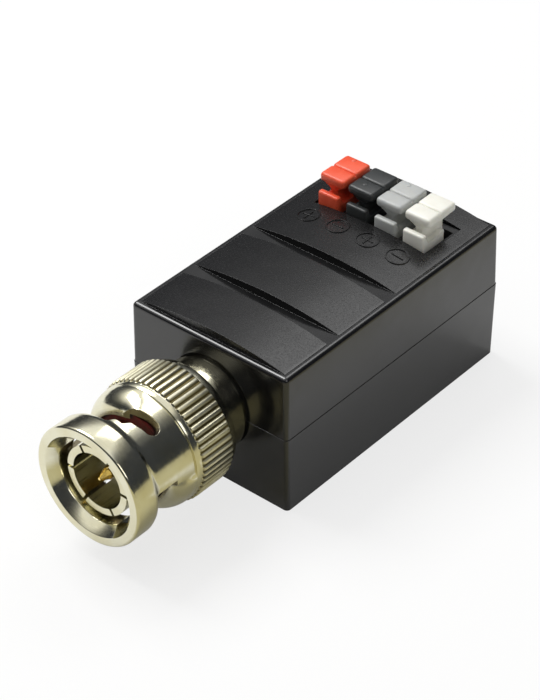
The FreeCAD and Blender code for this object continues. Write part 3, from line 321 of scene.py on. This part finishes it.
class Shader(Nodes):
    """A material on the Principled shader."""

    def __init__(self, name, colour, roughness, metallic=0.0):
        self.material = bpy.data.materials.new(name)
        self.material.use_nodes = True
        super().__init__(self.material.node_tree)
        self.surface = self.tree.nodes["Principled BSDF"]
        self.set("Base Color", (*colour, 1))
        self.set("Roughness", roughness)
        self.set("Metallic", metallic)

    def set(self, socket, value):
        self.feed(self.surface.inputs[socket], value)

    def place(self, stretch=(1, 1, 1)):
        """The point on the piece in millimetres, stretched along each axis."""
        here = self.node("TexCoord").outputs["Object"]
        mapping = self.node("Mapping")
        self.feed(mapping.inputs["Vector"], here)
        mapping.inputs["Scale"].default_value = [share / MM for share in stretch]
        return mapping.outputs["Vector"]

    def axes(self):
        """The point's own X, Y and Z in millimetres."""
        split = self.node("SeparateXYZ")
        self.feed(split.inputs[0], self.place())
        return split.outputs["X"], split.outputs["Y"], split.outputs["Z"]

    def noise(self, grain, detail, stretch=(1, 1, 1)):
        """Noise whose features are about grain millimetres across."""
        made = self.node("TexNoise")
        self.feed(made.inputs["Vector"], self.place(stretch))
        made.inputs["Scale"].default_value = 1 / grain
        made.inputs["Detail"].default_value = detail
        return made.outputs["Fac"]

    def span(self, value, low, high, new_low=0.0, new_high=1.0):
        """A value from low to high, spread over a new range and held at its ends."""
        made = self.node("MapRange", clamp=True)
        for socket, number in zip(made.inputs, (value, low, high, new_low, new_high)):
            self.feed(socket, number)
        return made.outputs["Result"]

    def mix(self, share, first, second):
        """Two colours mixed by a share."""
        made = self.node("Mix", data_type="RGBA")
        colours = [socket for socket in made.inputs if socket.type == "RGBA"]
        self.feed(made.inputs[0], share)
        for socket, colour in zip(colours, (first, second)):
            self.feed(socket, colour if isinstance(colour, bpy.types.NodeSocket) else (*colour, 1))
        return next(socket for socket in made.outputs if socket.type == "RGBA")

    def relief(self, layers, edge=0.0):
        """Bump layers, each a height and its depth, over edges rounded by edge. All in millimetres."""
        normal = None
        if edge:
            rounded = self.node("Bevel", samples=6)
            rounded.inputs["Radius"].default_value = edge * MM
            normal = rounded.outputs["Normal"]
        for height, depth in layers:
            bump = self.node("Bump")
            bump.inputs["Strength"].default_value = 1.0
            bump.inputs["Distance"].default_value = depth * MM
            self.feed(bump.inputs["Height"], height)
            if normal is not None:
                self.feed(bump.inputs["Normal"], normal)
            normal = bump.outputs["Normal"]
        self.set("Normal", normal)
        return self.material


def case_material():
    """Black moulded plastic: glossy walls and rim, finely speckled panels on top."""
    shader = Shader("case_plastic", CASE_MEAN, 0.2)
    up = shader.axes()[2]
    raised = shader.span(up, CASE_TOP, CASE_TOP + 0.12)
    grain = shader.noise(0.2, detail=3)
    cloud = shader.noise(3.2, detail=3)
    shade = shader.mix(raised, CASE_WALL, CASE_PANEL)
    shader.set("Base Color", shader.mix(shader.span(cloud, 0.35, 0.65), shade, CASE_CLOUD))
    walls = shader.span(cloud, 0.3, 0.7, 0.16, 0.24)
    panels = shader.span(grain, 0.3, 0.7, 0.22, 0.32)
    duller = shader.calc("SUBTRACT", panels, walls)
    shader.set("Roughness", shader.calc("MULTIPLY_ADD", raised, duller, walls))
    spark = shader.calc("MULTIPLY", shader.span(grain, 0.52, 0.72), raised)
    sink = shader.noise(7.0, detail=2)
    shader.set("Specular IOR Level", shader.calc("MULTIPLY_ADD", raised, -0.25, 0.7))
    return shader.relief([(sink, 0.06), (spark, 0.003)], edge=0.06)


def nickel_material():
    """Bright nickel plate over turned brass, with painted shade: dark brown between the knurl's ridges and
    on the nut's inner bores.
    """
    shader = Shader("nickel_plate", NICKEL_MEAN, 0.16, 1.0)
    across, along, up = shader.axes()
    rise = shader.calc("SUBTRACT", up, PLUG_HEIGHT)
    squares = shader.calc("MULTIPLY_ADD", across, across, shader.calc("MULTIPLY", rise, rise))
    around = shader.calc("SQRT", squares)
    deep = shader.calc("SUBTRACT", CASE_FRONT, along)
    # Painted shade on faces that look towards the axis, between the sleeve and the barrel's outside, behind
    # the lip
    facing = shader.node("SeparateXYZ")
    shader.feed(facing.inputs[0], shader.node("TexCoord").outputs["Normal"])
    outward = shader.calc("MULTIPLY", facing.outputs["Z"], rise)
    outward = shader.calc("MULTIPLY_ADD", facing.outputs["X"], across, outward)
    shaded_bore = shader.calc("MULTIPLY", shader.span(outward, 2.5, -0.5), shader.span(around, 4.4, 4.6))
    shaded_bore = shader.calc("MULTIPLY", shaded_bore, shader.span(around, 6.62, 6.45))
    shaded_bore = shader.calc("MULTIPLY", shaded_bore, shader.span(deep, LIP_START + 0.05, LIP_START - 0.05))
    starts = shader.span(deep, RIDGE_START - 0.1, RIDGE_START)
    knurl = shader.calc("MULTIPLY", starts, shader.span(deep, RIDGE_END, RIDGE_END - 0.1))
    # Painted shade: the knurl turns dark brown where its radius falls between the ridges
    low = shader.span(around, RIDGE_RADIUS - 0.03, BAND_RADIUS + 0.05)
    groove_shade = shader.calc("MULTIPLY", knurl, low)
    cloud = shader.noise(3.0, detail=3)
    turned = shader.noise(0.09, detail=3, stretch=(0.02, 1, 0.02))
    fine = shader.noise(0.4, detail=4)
    plate = shader.mix(shader.span(cloud, 0.35, 0.65), NICKEL_BRIGHT, NICKEL_WARM)
    plate = shader.mix(groove_shade, plate, NICKEL_GROOVE_SHADE)
    shader.set("Base Color", shader.mix(shaded_bore, plate, NICKEL_BORE_SHADE))
    dull = shader.calc("MULTIPLY_ADD", knurl, 0.24, shader.calc("MULTIPLY", shaded_bore, 0.2))
    shader.set("Roughness", shader.calc("ADD", shader.span(fine, 0.3, 0.7, 0.10, 0.20), dull))
    return shader.relief([(turned, 0.004), (fine, 0.003)], edge=0.05)


def gold_material():
    """Gold plate on the centre pin."""
    shader = Shader("gold_plate", GOLD, 0.22, 1.0)
    turned = shader.noise(0.08, detail=2, stretch=(0.02, 1, 0.02))
    shader.set("Roughness", shader.span(turned, 0.3, 0.7, 0.14, 0.26))
    return shader.relief([(turned, 0.003)], edge=0.03)


def plain_material(name, first, second, roughness, grain, depth, metallic):
    """A moulded or coated finish: two close shades in clouds over a fine grain."""
    shader = Shader(name, first, roughness, metallic)
    cloud = shader.noise(1.6, detail=3)
    fine = shader.noise(grain, detail=3)
    shader.set("Base Color", shader.mix(shader.span(cloud, 0.35, 0.65), first, second))
    shader.set("Roughness", shader.span(fine, 0.3, 0.7, roughness - 0.06, roughness + 0.06))
    return shader.relief([(fine, depth)], edge=0.05)


def rubber_material():
    """Red rubber, with painted shade: dark brown where ambient occlusion finds it sits deep."""
    shader = Shader("gasket_rubber", RUBBER_RED, 0.65)
    shader.set("Specular IOR Level", 0.25)
    # Painted shade: ambient occlusion turns the rubber dark brown where it sits deep, jittered by a mottle
    open_air = shader.node("AmbientOcclusion", samples=8)
    open_air.inputs["Distance"].default_value = 3 * MM
    mottle = shader.noise(0.5, detail=3)
    uneven = shader.span(mottle, 0.3, 0.7, -0.05, 0.05)
    share = shader.span(shader.calc("ADD", open_air.outputs["AO"], uneven), 0.35, 0.75)
    shader.set("Base Color", shader.mix(share, RUBBER_PAINTED_SHADE, RUBBER_RED))
    return shader.relief([(mottle, 0.01)], edge=0.05)


def lever_material(name, first, second):
    """Satin moulded plastic that lets a little light in."""
    shader = Shader(name, first, LEVER_ROUGHNESS)
    cloud = shader.noise(1.2, detail=2)
    fine = shader.noise(0.12, detail=3)
    shader.set("Base Color", shader.mix(shader.span(cloud, 0.35, 0.65), first, second))
    spread = shader.span(fine, 0.3, 0.7, LEVER_ROUGHNESS - 0.05, LEVER_ROUGHNESS + 0.07)
    shader.set("Roughness", spread)
    shader.set("Subsurface Weight", 0.12)
    shader.set("Subsurface Radius", (0.4 * MM, 0.3 * MM, 0.2 * MM))
    return shader.relief([(fine, 0.006)], edge=0.14)


def finishes():
    """Every material, by its slot in the record."""
    materials = {
        "case_plastic": case_material(),
        "nickel_plate": nickel_material(),
        "gold_plate": gold_material(),
        "gasket_rubber": rubber_material(),
    }
    for name, values in PLAIN_FINISHES.items():
        materials[name] = plain_material(name, *values)
    for name, shades in LEVER_FINISHES.items():
        materials[name] = lever_material(name, *shades)
    return materials


def add_object(name, data):
    """A new object of the scene, from a mesh, a lamp or a camera."""
    made = bpy.data.objects.new(name, data)
    bpy.context.scene.collection.objects.link(made)
    return made


def make_mesh(name, vertices, faces):
    """A mesh from vertices in millimetres."""
    mesh = bpy.data.meshes.new(name)
    mesh.from_pydata([Vector(vertex) * MM for vertex in vertices], [], faces)
    return mesh


def face_outward(mesh):
    """Turn every face of a mesh to its outside."""
    form = bmesh.new()
    form.from_mesh(mesh)
    bmesh.ops.recalc_face_normals(form, faces=form.faces)
    form.to_mesh(mesh)
    form.free()


def finish_piece(piece, body, slot, materials, bend=HARD_BEND):
    """Outward faces, smooth but for edges sharper than bend degrees, a body to ride and a slot's finish."""
    face_outward(piece.data)
    piece.data.shade_smooth()
    piece.data.set_sharp_from_angle(angle=math.radians(bend))
    piece.data.materials.clear()
    piece.data.materials.append(materials[slot])
    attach(piece, body)


def joined(solids):
    """The vertices and faces of several solids as one."""
    vertices, faces = [], []
    for solid_vertices, solid_faces in solids:
        first = len(vertices)
        vertices += solid_vertices
        faces += [tuple(first + corner for corner in face) for face in solid_faces]
    return vertices, faces


def wrap(rows, sides, closed=True):
    """The faces that join rows of points, each row a loop of sides points. Open ends get a face."""
    faces = []
    for row in range(rows if closed else rows - 1):
        here, there = sides * row, sides * ((row + 1) % rows)
        for corner in range(sides):
            after = (corner + 1) % sides
            faces.append((here + corner, here + after, there + after, there + corner))
    if not closed:
        last = sides * (rows - 1)
        faces += [tuple(range(sides)), tuple(last + corner for corner in reversed(range(sides)))]
    return faces


def circle(middle, radius, count):
    """Points round a middle."""
    turns = [math.tau * step / count for step in range(count)]
    return [(middle[0] + radius * math.cos(t), middle[1] + radius * math.sin(t)) for t in turns]


def ease(value, low, high):
    """A smooth rise from 0 at low to 1 at high."""
    share = min(max((value - low) / (high - low), 0), 1)
    return share * share * (3 - 2 * share)


def crown_height(across):
    """The panels' surface at a place across the case."""
    radius = (PANEL_HALF_WIDTH**2 + PANEL_CROWN**2) / (2 * PANEL_CROWN)
    return PANEL_SHOULDER + PANEL_CROWN - radius + math.sqrt(radius**2 - across**2)


def raised_line(path, closed):
    """Vertices and faces of a low moulded line that follows a path of places on the rear panel."""
    vertices = []
    count = len(path)
    for index, (across, along) in enumerate(path):
        before = path[index - 1] if closed or index else path[index]
        after = path[(index + 1) % count] if closed or index < count - 1 else path[index]
        heading = Vector((after[0] - before[0], after[1] - before[1])).normalized()
        side = Vector((-heading.y, heading.x))
        for share, rise in MARK_SECTION:
            x, y = across + side.x * share * MARK_WIDTH, along + side.y * share * MARK_WIDTH
            vertices.append((x, y, crown_height(x) + rise))
    return vertices, wrap(count, len(MARK_SECTION), closed)


def add_marks(materials):
    """A ring with a plus or a minus in front of each lever, moulded on the rear panel."""
    shares = [step / 3 - 1 for step in range(7)]
    for index, sign in enumerate(MARK_SIGNS):
        middle = MARK_MIDDLE + (index - (len(MARK_SIGNS) - 1) / 2) * MARK_PITCH
        ring = circle((middle, MARK_PLACE), MARK_RADIUS, MARK_STEPS)
        lines = [raised_line(ring, True)]
        lines.append(raised_line([(middle + MARK_BAR * share, MARK_PLACE) for share in shares], False))
        if sign == "+":
            upright = [(middle, MARK_PLACE + MARK_BAR * share) for share in shares]
            lines.append(raised_line(upright, False))
        name = f"polarity_mark_{index + 1}"
        mark = add_object(name, make_mesh(name, *joined(lines)))
        finish_piece(mark, "case", "case_plastic", materials, bend=SOFT_BEND)


def soft_prism(form, outline, low, high, radius, axis=0):
    """An outline drawn out along an axis, with every edge rounded, added to a bmesh in millimetres."""
    ends = []
    for place in (low, high):
        made = []
        for first, second in outline:
            point = [first, second]
            point.insert(axis, place)
            made.append(form.verts.new(Vector(point)))
        ends.append(made)
    faces = [form.faces.new(ends[0][::-1]), form.faces.new(ends[1])]
    count = len(outline)
    for index in range(count):
        after = (index + 1) % count
        faces.append(form.faces.new((ends[0][index], ends[0][after], ends[1][after], ends[1][index])))
    edges = list(dict.fromkeys(edge for face in faces for edge in face.edges))
    bmesh.ops.bevel(
        form, geom=edges, offset=radius, segments=4, profile=0.5, affect="EDGES", clamp_overlap=True
    )


def add_loft(form, rings):
    """A closed solid through rings of points that lie above one another."""
    made = [[form.verts.new(Vector(point)) for point in ring] for ring in rings]
    count = len(rings[0])
    for below, above in zip(made, made[1:]):
        for index in range(count):
            after = (index + 1) % count
            form.faces.new((below[index], below[after], above[after], above[index]))
    form.faces.new(made[0][::-1])
    form.faces.new(made[-1])


def rectangle(low, high):
    """The corners between two opposite ones."""
    return [(low[0], low[1]), (high[0], low[1]), (high[0], high[1]), (low[0], high[1])]


def web_ring(height, under):
    """The web's outline at a height. It flares towards the pad."""
    spread = ease(height, under - WEB_FLARE, under) ** WEB_FLARE_CURVE * WEB_SPREAD
    grown = {side: spread * share for side, share in WEB_SHARES.items()}
    front, rear = WEB_HALF_WIDTHS[0] + grown["front"], WEB_HALF_WIDTHS[1] + grown["rear"]
    start, end = WEB_ENDS[0] - grown["start"], WEB_ENDS[1] + grown["end"]
    half = [
        (front - WEB_CORNER, start), (front, start + WEB_CORNER),
        (rear, end - WEB_CORNER), (rear - WEB_CORNER, end),
    ]
    points = half + [(-x, y) for x, y in reversed(half)]
    return [(x, y, height) for x, y in points]


def add_flat_spring(colour, materials):
    """The spring under a lever, a copy of the solid's spring."""
    node = frame["nodes"][f"{colour}_spring"]
    spring = add_object(f"{colour}_flat_spring", node.data.copy())
    spring.matrix_world = node.matrix_world.copy()
    finish_piece(spring, "case", "spring_steel", materials)
    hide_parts(node.name)
    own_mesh(spring)


def add_pad(form):
    """The pad's two rounded lobes, over the core that joins them."""
    under, top = PAD_HEIGHTS
    for start, end in ((-PAD_HALF_LENGTH, PAD_NOTCH[0]), (PAD_NOTCH[1], PAD_HALF_LENGTH)):
        lobe = rectangle((start, under), (end, top))
        soft_prism(form, lobe, -PAD_HALF_WIDTH, PAD_HALF_WIDTH, PAD_ROUNDING)
    core = rectangle((-CORE_HALF_LENGTH, under + CORE_BELOW), (CORE_HALF_LENGTH, top - CORE_ABOVE))
    aside = PAD_HALF_WIDTH - CORE_ASIDE
    soft_prism(form, core, -aside, aside, CORE_ROUNDING)


def add_shank(form, foot):
    """The shank in the well, down to its foot, with a barb at the front and rear."""
    start, end = SHANK_ENDS
    shank = rectangle((-SHANK_HALF_WIDTH, start), (SHANK_HALF_WIDTH, end))
    soft_prism(form, shank, foot, SHANK_TOP, SHANK_ROUNDING, axis=2)
    barbs = rectangle((-SHANK_HALF_WIDTH, start - BARB_REACH), (SHANK_HALF_WIDTH, end + BARB_REACH))
    soft_prism(form, barbs, *BARB_RISE, SHANK_ROUNDING, axis=2)


def add_levers(materials):
    """The push levers: rounded pads on flared webs, that stand in open trays."""
    under, top = PAD_HEIGHTS
    flare = [under - WEB_FLARE + WEB_FLARE * step / WEB_FLARE_STEPS for step in range(WEB_FLARE_STEPS + 1)]
    web_heights = [WEB_FOOT, *flare, under + WEB_IN_PAD]
    for colour, across in LEVER_PLACES.items():
        form = bmesh.new()
        add_pad(form)
        soft_prism(form, TRAY_SECTION, *TRAY_SIDES, TRAY_ROUNDING)
        add_loft(form, [web_ring(height, under) for height in web_heights])
        add_shank(form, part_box(f"{colour}_lever")[0][2] / MM - BLOCK_TOP + SPRING_GAP)
        if colour in LEVER_PIPS:
            rings = []
            for radius, rise in PIP_LAYERS:
                rings.append([(x, y, top + rise) for x, y in circle(LEVER_PIPS[colour], radius, PIP_STEPS)])
            add_loft(form, rings)
        bmesh.ops.translate(form, verts=form.verts, vec=Vector((across, LEVER_MIDDLE, BLOCK_TOP)))
        bmesh.ops.scale(form, verts=form.verts, vec=Vector((MM, MM, MM)))
        mesh = bpy.data.meshes.new(f"{colour}_push_lever")
        form.to_mesh(mesh)
        form.free()
        lever = add_object(mesh.name, mesh)
        finish_piece(lever, f"{colour}_lever", f"{colour}_plastic", materials, bend=SOFT_BEND)
        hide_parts(f"{colour}_lever")
        add_flat_spring(colour, materials)


def on_plug(length, radius, turn):
    """A point round the plug's axis. Turn is in degrees, from the right and over the top."""
    angle = math.radians(turn)
    return (radius * math.cos(angle), CASE_FRONT - length, PLUG_HEIGHT + radius * math.sin(angle))


def barrel_radius(length, turn):
    """The barrel's outside, up to the lip. It rounds down behind each slot, like a shoulder."""
    lip = ease(length, LIP_START - LIP_HALF_SLOPE, LIP_START + LIP_HALF_SLOPE)
    plain = BARREL_RADIUS + (LIP_RADIUS - BARREL_RADIUS) * lip
    part = turn % 180
    share = ease(part, *SHOULDER_GROWS) * (1 - ease(part, *SHOULDER_ENDS))
    if length < SHOULDER_START:
        rounded = SHOULDER_BACK_RADIUS
    elif length > SHOULDER_END:
        rounded = plain
    else:
        depth = (length - SHOULDER_START) / SHOULDER_REACH
        rounded = SHOULDER_FOOT + SHOULDER_RISE * math.sqrt(1 - depth * depth)
    return plain + (rounded - plain) * share


def slot_rear(turn):
    """The rear edge of the bayonet slot, by the turn round the plug."""
    return SLOT_REAR + SLOT_REAR_SHIFT * ease(turn, *SLOT_REAR_TURNS)


def slot_front(turn):
    """The front edge of the bayonet slot: a pocket for the stud, a detent, then the open window."""
    pocket = POCKET + POCKET_SHIFT * ease(turn, *POCKET_TURNS)
    detent = DETENT_SHIFT * ease(turn, *DETENT_TURNS)
    return pocket + detent + (LIP_START - pocket - DETENT_SHIFT) * ease(turn, *WINDOW_TURNS)


def slot_sections():
    """The slot round the plug: turns, each with a rear and a front length."""
    middle = (slot_rear(SLOT_END_TURN) + slot_front(SLOT_END_TURN)) / 2
    sections = []
    for step in range(SLOT_END_STEPS):
        angle = math.pi / 2 * (step + 0.25) / (SLOT_END_STEPS - 0.75)
        half = SLOT_END_HALF_WIDTH * math.sin(angle)
        turn = SLOT_END_TURN - SLOT_END_REACH * math.cos(angle)
        sections.append((turn, middle - half, middle + half))
    return sections + [(turn, slot_rear(turn), slot_front(turn)) for turn in SLOT_TURNS]


def strip_solid(sections, turn_on, low, high):
    """A closed strip round the plug: each section is a turn with a rear and a front length."""
    vertices = []
    for turn, rear, front in sections:
        for length, radius in ((rear, low), (front, low), (front, high), (rear, high)):
            vertices.append(on_plug(length, radius, turn + turn_on))
    return vertices, wrap(len(sections), 4, closed=False)


def cut(piece, solids):
    """Cut closed solids from a piece."""
    mesh = make_mesh("cutter", *joined(solids))
    face_outward(mesh)
    cutter = add_object("cutter", mesh)
    modifier = piece.modifiers.new("cut", "BOOLEAN")
    modifier.operation = "DIFFERENCE"
    modifier.solver = "EXACT"
    modifier.object = cutter
    bpy.context.view_layer.update()
    seen = piece.evaluated_get(bpy.context.evaluated_depsgraph_get())
    result = bpy.data.meshes.new_from_object(seen)
    piece.modifiers.remove(modifier)
    piece.data = result
    bpy.data.objects.remove(cutter)


def nut_profile():
    """The nut's section as lengths and radii, round from the rear. A radius of None is the barrel's."""
    reach = LIP_START + LIP_HALF_SLOPE - BAND_END - BARREL_GAP
    lengths = [BAND_END + BARREL_GAP + reach * step / BARREL_STEPS for step in range(BARREL_STEPS + 1)]
    lengths += [SHOULDER_END - 0.06, SHOULDER_END - 0.01]
    barrel = [(length, None) for length in sorted(lengths)]
    rim = []
    for step in range(RIM_STEPS + 1):
        angle = math.pi / 2 * step / RIM_STEPS
        length = NUT_END - RIM_ROUNDING + RIM_ROUNDING * math.sin(angle)
        rim.append((length, LIP_RADIUS - RIM_ROUNDING + RIM_ROUNDING * math.cos(angle)))
    return NUT_REAR + barrel + rim + NUT_INSIDE


def turned_nut():
    """Vertices and faces of the nut before its slots are cut, turned from its profile."""
    profile = nut_profile()
    fine = {half + turn for half in HALVES for turn in SHOULDER_FINE_TURNS}
    turns = sorted(fine | {step * 360 / NUT_SECTIONS for step in range(NUT_SECTIONS)})
    vertices = []
    for turn in turns:
        for length, radius in profile:
            if radius is None:
                radius = barrel_radius(length, turn)
            vertices.append(on_plug(length, radius, turn))
    return vertices, wrap(len(turns), len(profile))


def ridge_ring():
    """The knurl: straight ridges with rounded crests, as one closed ring."""
    pitch = 360 / RIDGE_COUNT
    vertices = []
    for length, share in RIDGE_ROWS:
        for ridge in range(RIDGE_COUNT):
            for place, radius in RIDGE_SECTION:
                radius = RIDGE_FOOT + (radius - RIDGE_FOOT) * share
                vertices.append(on_plug(length, radius, (ridge + place) * pitch))
    for length in (RIDGE_END, RIDGE_START):
        for ridge in range(RIDGE_COUNT):
            for place, _ in RIDGE_SECTION:
                vertices.append(on_plug(length, RIDGE_INSIDE, (ridge + place) * pitch))
    return vertices, wrap(len(RIDGE_ROWS) + 2, RIDGE_COUNT * len(RIDGE_SECTION))


def add_coupling_nut(materials):
    """The bayonet nut: its shoulders are rounded, and its knurl is finer than the solid's."""
    nut = add_object("bayonet_nut", make_mesh("bayonet_nut", *turned_nut()))
    slot = slot_sections()
    cut(nut, [strip_solid(slot, turn_on, *SLOT_DEPTHS) for turn_on in HALVES])
    channel = [(turn, *CHANNEL_ENDS) for turn in CHANNEL_TURNS]
    cut(nut, [strip_solid(channel, turn_on, *CHANNEL_DEPTHS) for turn_on in HALVES])

    ridge_vertices, ridge_faces = ridge_ring()
    form = bmesh.new()
    form.from_mesh(nut.data)
    made = [form.verts.new(Vector(vertex) * MM) for vertex in ridge_vertices]
    for face in ridge_faces:
        form.faces.new([made[corner] for corner in face])
    form.to_mesh(nut.data)
    form.free()
    finish_piece(nut, "coupling_nut", "nickel_plate", materials)
    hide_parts("coupling_nut")


def dress_nodes(materials):
    """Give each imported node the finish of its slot."""
    slots = {row["node"]: row["material_slot"] for row in frame["record"]["subparts"]}
    for name, node in frame["nodes"].items():
        node.data.materials.clear()
        node.data.materials.append(materials[slots[name]])


def add_stage():
    """A pale sheet to stand on, white to the camera but for the object's soft shadow.

    It has a painted shade, dark and warm, that only reflections see: beside the plug and to the case's
    right.
    """
    mesh = bpy.data.meshes.new("floor")
    low, high = (-FLOOR_HALF_SIZE, -FLOOR_HALF_SIZE), (FLOOR_HALF_SIZE, FLOOR_HALF_SIZE)
    mesh.from_pydata([(x, y, 0) for x, y in rectangle(low, high)], [], [(0, 1, 2, 3)])
    floor = add_object("floor", mesh)
    shader = Shader("floor_paper", FLOOR_COLOUR, 0.9)
    shader.relief([(shader.noise(0.6, detail=3), 0.004)])
    glow = shader.node("Emission")
    glow.inputs["Color"].default_value = WHITE
    rays = shader.node("LightPath")
    across, along, _ = shader.axes()
    # Painted shade for reflections: glossy rays see the floor dark and warm beside the plug and to the
    # case's right
    ahead, aside = shader.span(along, *MIRRORED_SHADE_ALONG), shader.span(across, *MIRRORED_SHADE_ACROSS)
    beside_plug = shader.calc("MULTIPLY", ahead, aside)
    mirrored_shade = shader.calc("MAXIMUM", beside_plug, shader.span(across, *MIRRORED_SHADE_RIGHT))
    mirrored_shade_share = shader.calc("MULTIPLY", mirrored_shade, rays.outputs["Is Glossy Ray"])
    shader.set("Base Color", shader.mix(mirrored_shade_share, FLOOR_COLOUR, FLOOR_MIRRORED_SHADE))
    seen = shader.calc("MAXIMUM", rays.outputs["Is Camera Ray"], rays.outputs["Is Transmission Ray"])
    glossy = rays.outputs["Is Glossy Ray"]
    seen = shader.calc("MULTIPLY_ADD", glossy, FLOOR_GLOW_MIRRORED, seen, clamp=True)
    share = shader.calc("MULTIPLY", seen, FLOOR_GLOW)
    paper = shader.blend(share, shader.surface.outputs[0], glow.outputs[0])
    shader.feed(shader.tree.nodes["Material Output"].inputs["Surface"], paper)
    mesh.materials.append(shader.material)


def add_world():
    """A white studio. Metal and plastic see it white above and to the left, behind dark cards elsewhere."""
    world = bpy.data.worlds.new("studio")
    bpy.context.scene.world = world
    world.use_nodes = True
    world.node_tree.nodes.clear()
    studio = Nodes(world.node_tree)

    split = studio.node("SeparateXYZ")
    studio.feed(split.inputs[0], studio.node("TexCoord").outputs["Generated"])
    ramp = studio.node("ValToRGB")
    tilted = studio.calc("MULTIPLY_ADD", split.outputs["X"], STUDIO_TILT, split.outputs["Z"])
    studio.feed(ramp.inputs[0], tilted)
    stops = ramp.color_ramp.elements
    for index, (place, level) in enumerate(STUDIO_STOPS):
        stop = stops[index] if index < 2 else stops.new(place)
        stop.position = place
        stop.color = (level, level, level, 1)

    rays = studio.node("LightPath")
    glossy = rays.outputs["Is Glossy Ray"]
    seen = studio.calc("MAXIMUM", rays.outputs["Is Camera Ray"], rays.outputs["Is Transmission Ray"])
    seen = studio.calc("MAXIMUM", seen, studio.calc("MULTIPLY", glossy, ramp.outputs["Color"]))
    light, cards, white = (studio.node("Background") for _ in range(3))
    studio.feed(light.inputs["Color"], ramp.outputs["Color"])
    studio.feed(cards.inputs["Color"], STUDIO_CARDS)
    studio.feed(white.inputs["Color"], WHITE)
    dark = studio.blend(glossy, light.outputs[0], cards.outputs[0])
    output = studio.node("OutputWorld")
    studio.feed(output.inputs["Surface"], studio.blend(seen, dark, white.outputs[0]))


def direction_back(azimuth, elevation):
    """From the object towards a viewer at these angles. Azimuth 0 stands in front, 90 at the right."""
    turn = math.radians(azimuth)
    rise = math.radians(elevation)
    return Vector((math.sin(turn) * math.cos(rise), -math.cos(turn) * math.cos(rise), math.sin(rise)))


def add_softbox(name, azimuth, elevation, distance, size, power):
    """A lamp aimed at the object, placed by its angles as the camera is. Lengths are in metres."""
    lamp = bpy.data.lights.new(name, "AREA")
    lamp.shape = "RECTANGLE"
    lamp.size, lamp.size_y = size
    lamp.energy = power
    holder = add_object(name, lamp)
    back = direction_back(azimuth, elevation)
    holder.location = CAMERA_TARGET + back * distance
    holder.rotation_mode = "QUATERNION"
    holder.rotation_quaternion = (-back).to_track_quat("-Z", "Y")


def add_camera():
    """The photograph's camera."""
    back = direction_back(CAMERA_AZIMUTH, CAMERA_ELEVATION)
    turn = math.radians(CAMERA_AZIMUTH)
    level_right = Vector((math.cos(turn), math.sin(turn), 0))
    level_up = back.cross(level_right)
    roll = math.radians(CAMERA_ROLL)
    right = level_right * math.cos(roll) + level_up * math.sin(roll)
    up = level_up * math.cos(roll) - level_right * math.sin(roll)
    camera = bpy.data.cameras.new("camera")
    camera.sensor_width = SENSOR_WIDTH
    camera.lens = FOCAL_PIXELS / IMAGE_HEIGHT * SENSOR_WIDTH
    camera.clip_start = 0.01
    camera.clip_end = 5
    holder = add_object("camera", camera)
    aside, above = CAMERA_OFFSET
    place = CAMERA_TARGET - right * aside - up * above + back * CAMERA_DISTANCE
    turned = Matrix((right, up, back)).transposed().to_4x4()
    holder.matrix_world = Matrix.Translation(place) @ turned
    bpy.context.scene.camera = holder


def build():
    """The whole scene, in the frame's place and size."""
    bpy.context.scene.view_settings.view_transform = "Standard"
    materials = finishes()
    dress_nodes(materials)
    add_marks(materials)
    add_levers(materials)
    add_coupling_nut(materials)
    add_stage()
    add_world()
    add_softbox("key", azimuth=-92, elevation=57, distance=0.5, size=(0.24, 0.24), power=1.7)
    add_softbox("back", azimuth=-163, elevation=53, distance=0.5, size=(0.22, 0.14), power=0.24)
    add_softbox("fill", azimuth=75, elevation=38, distance=0.6, size=(0.30, 0.25), power=0.5)
    add_camera()


build()
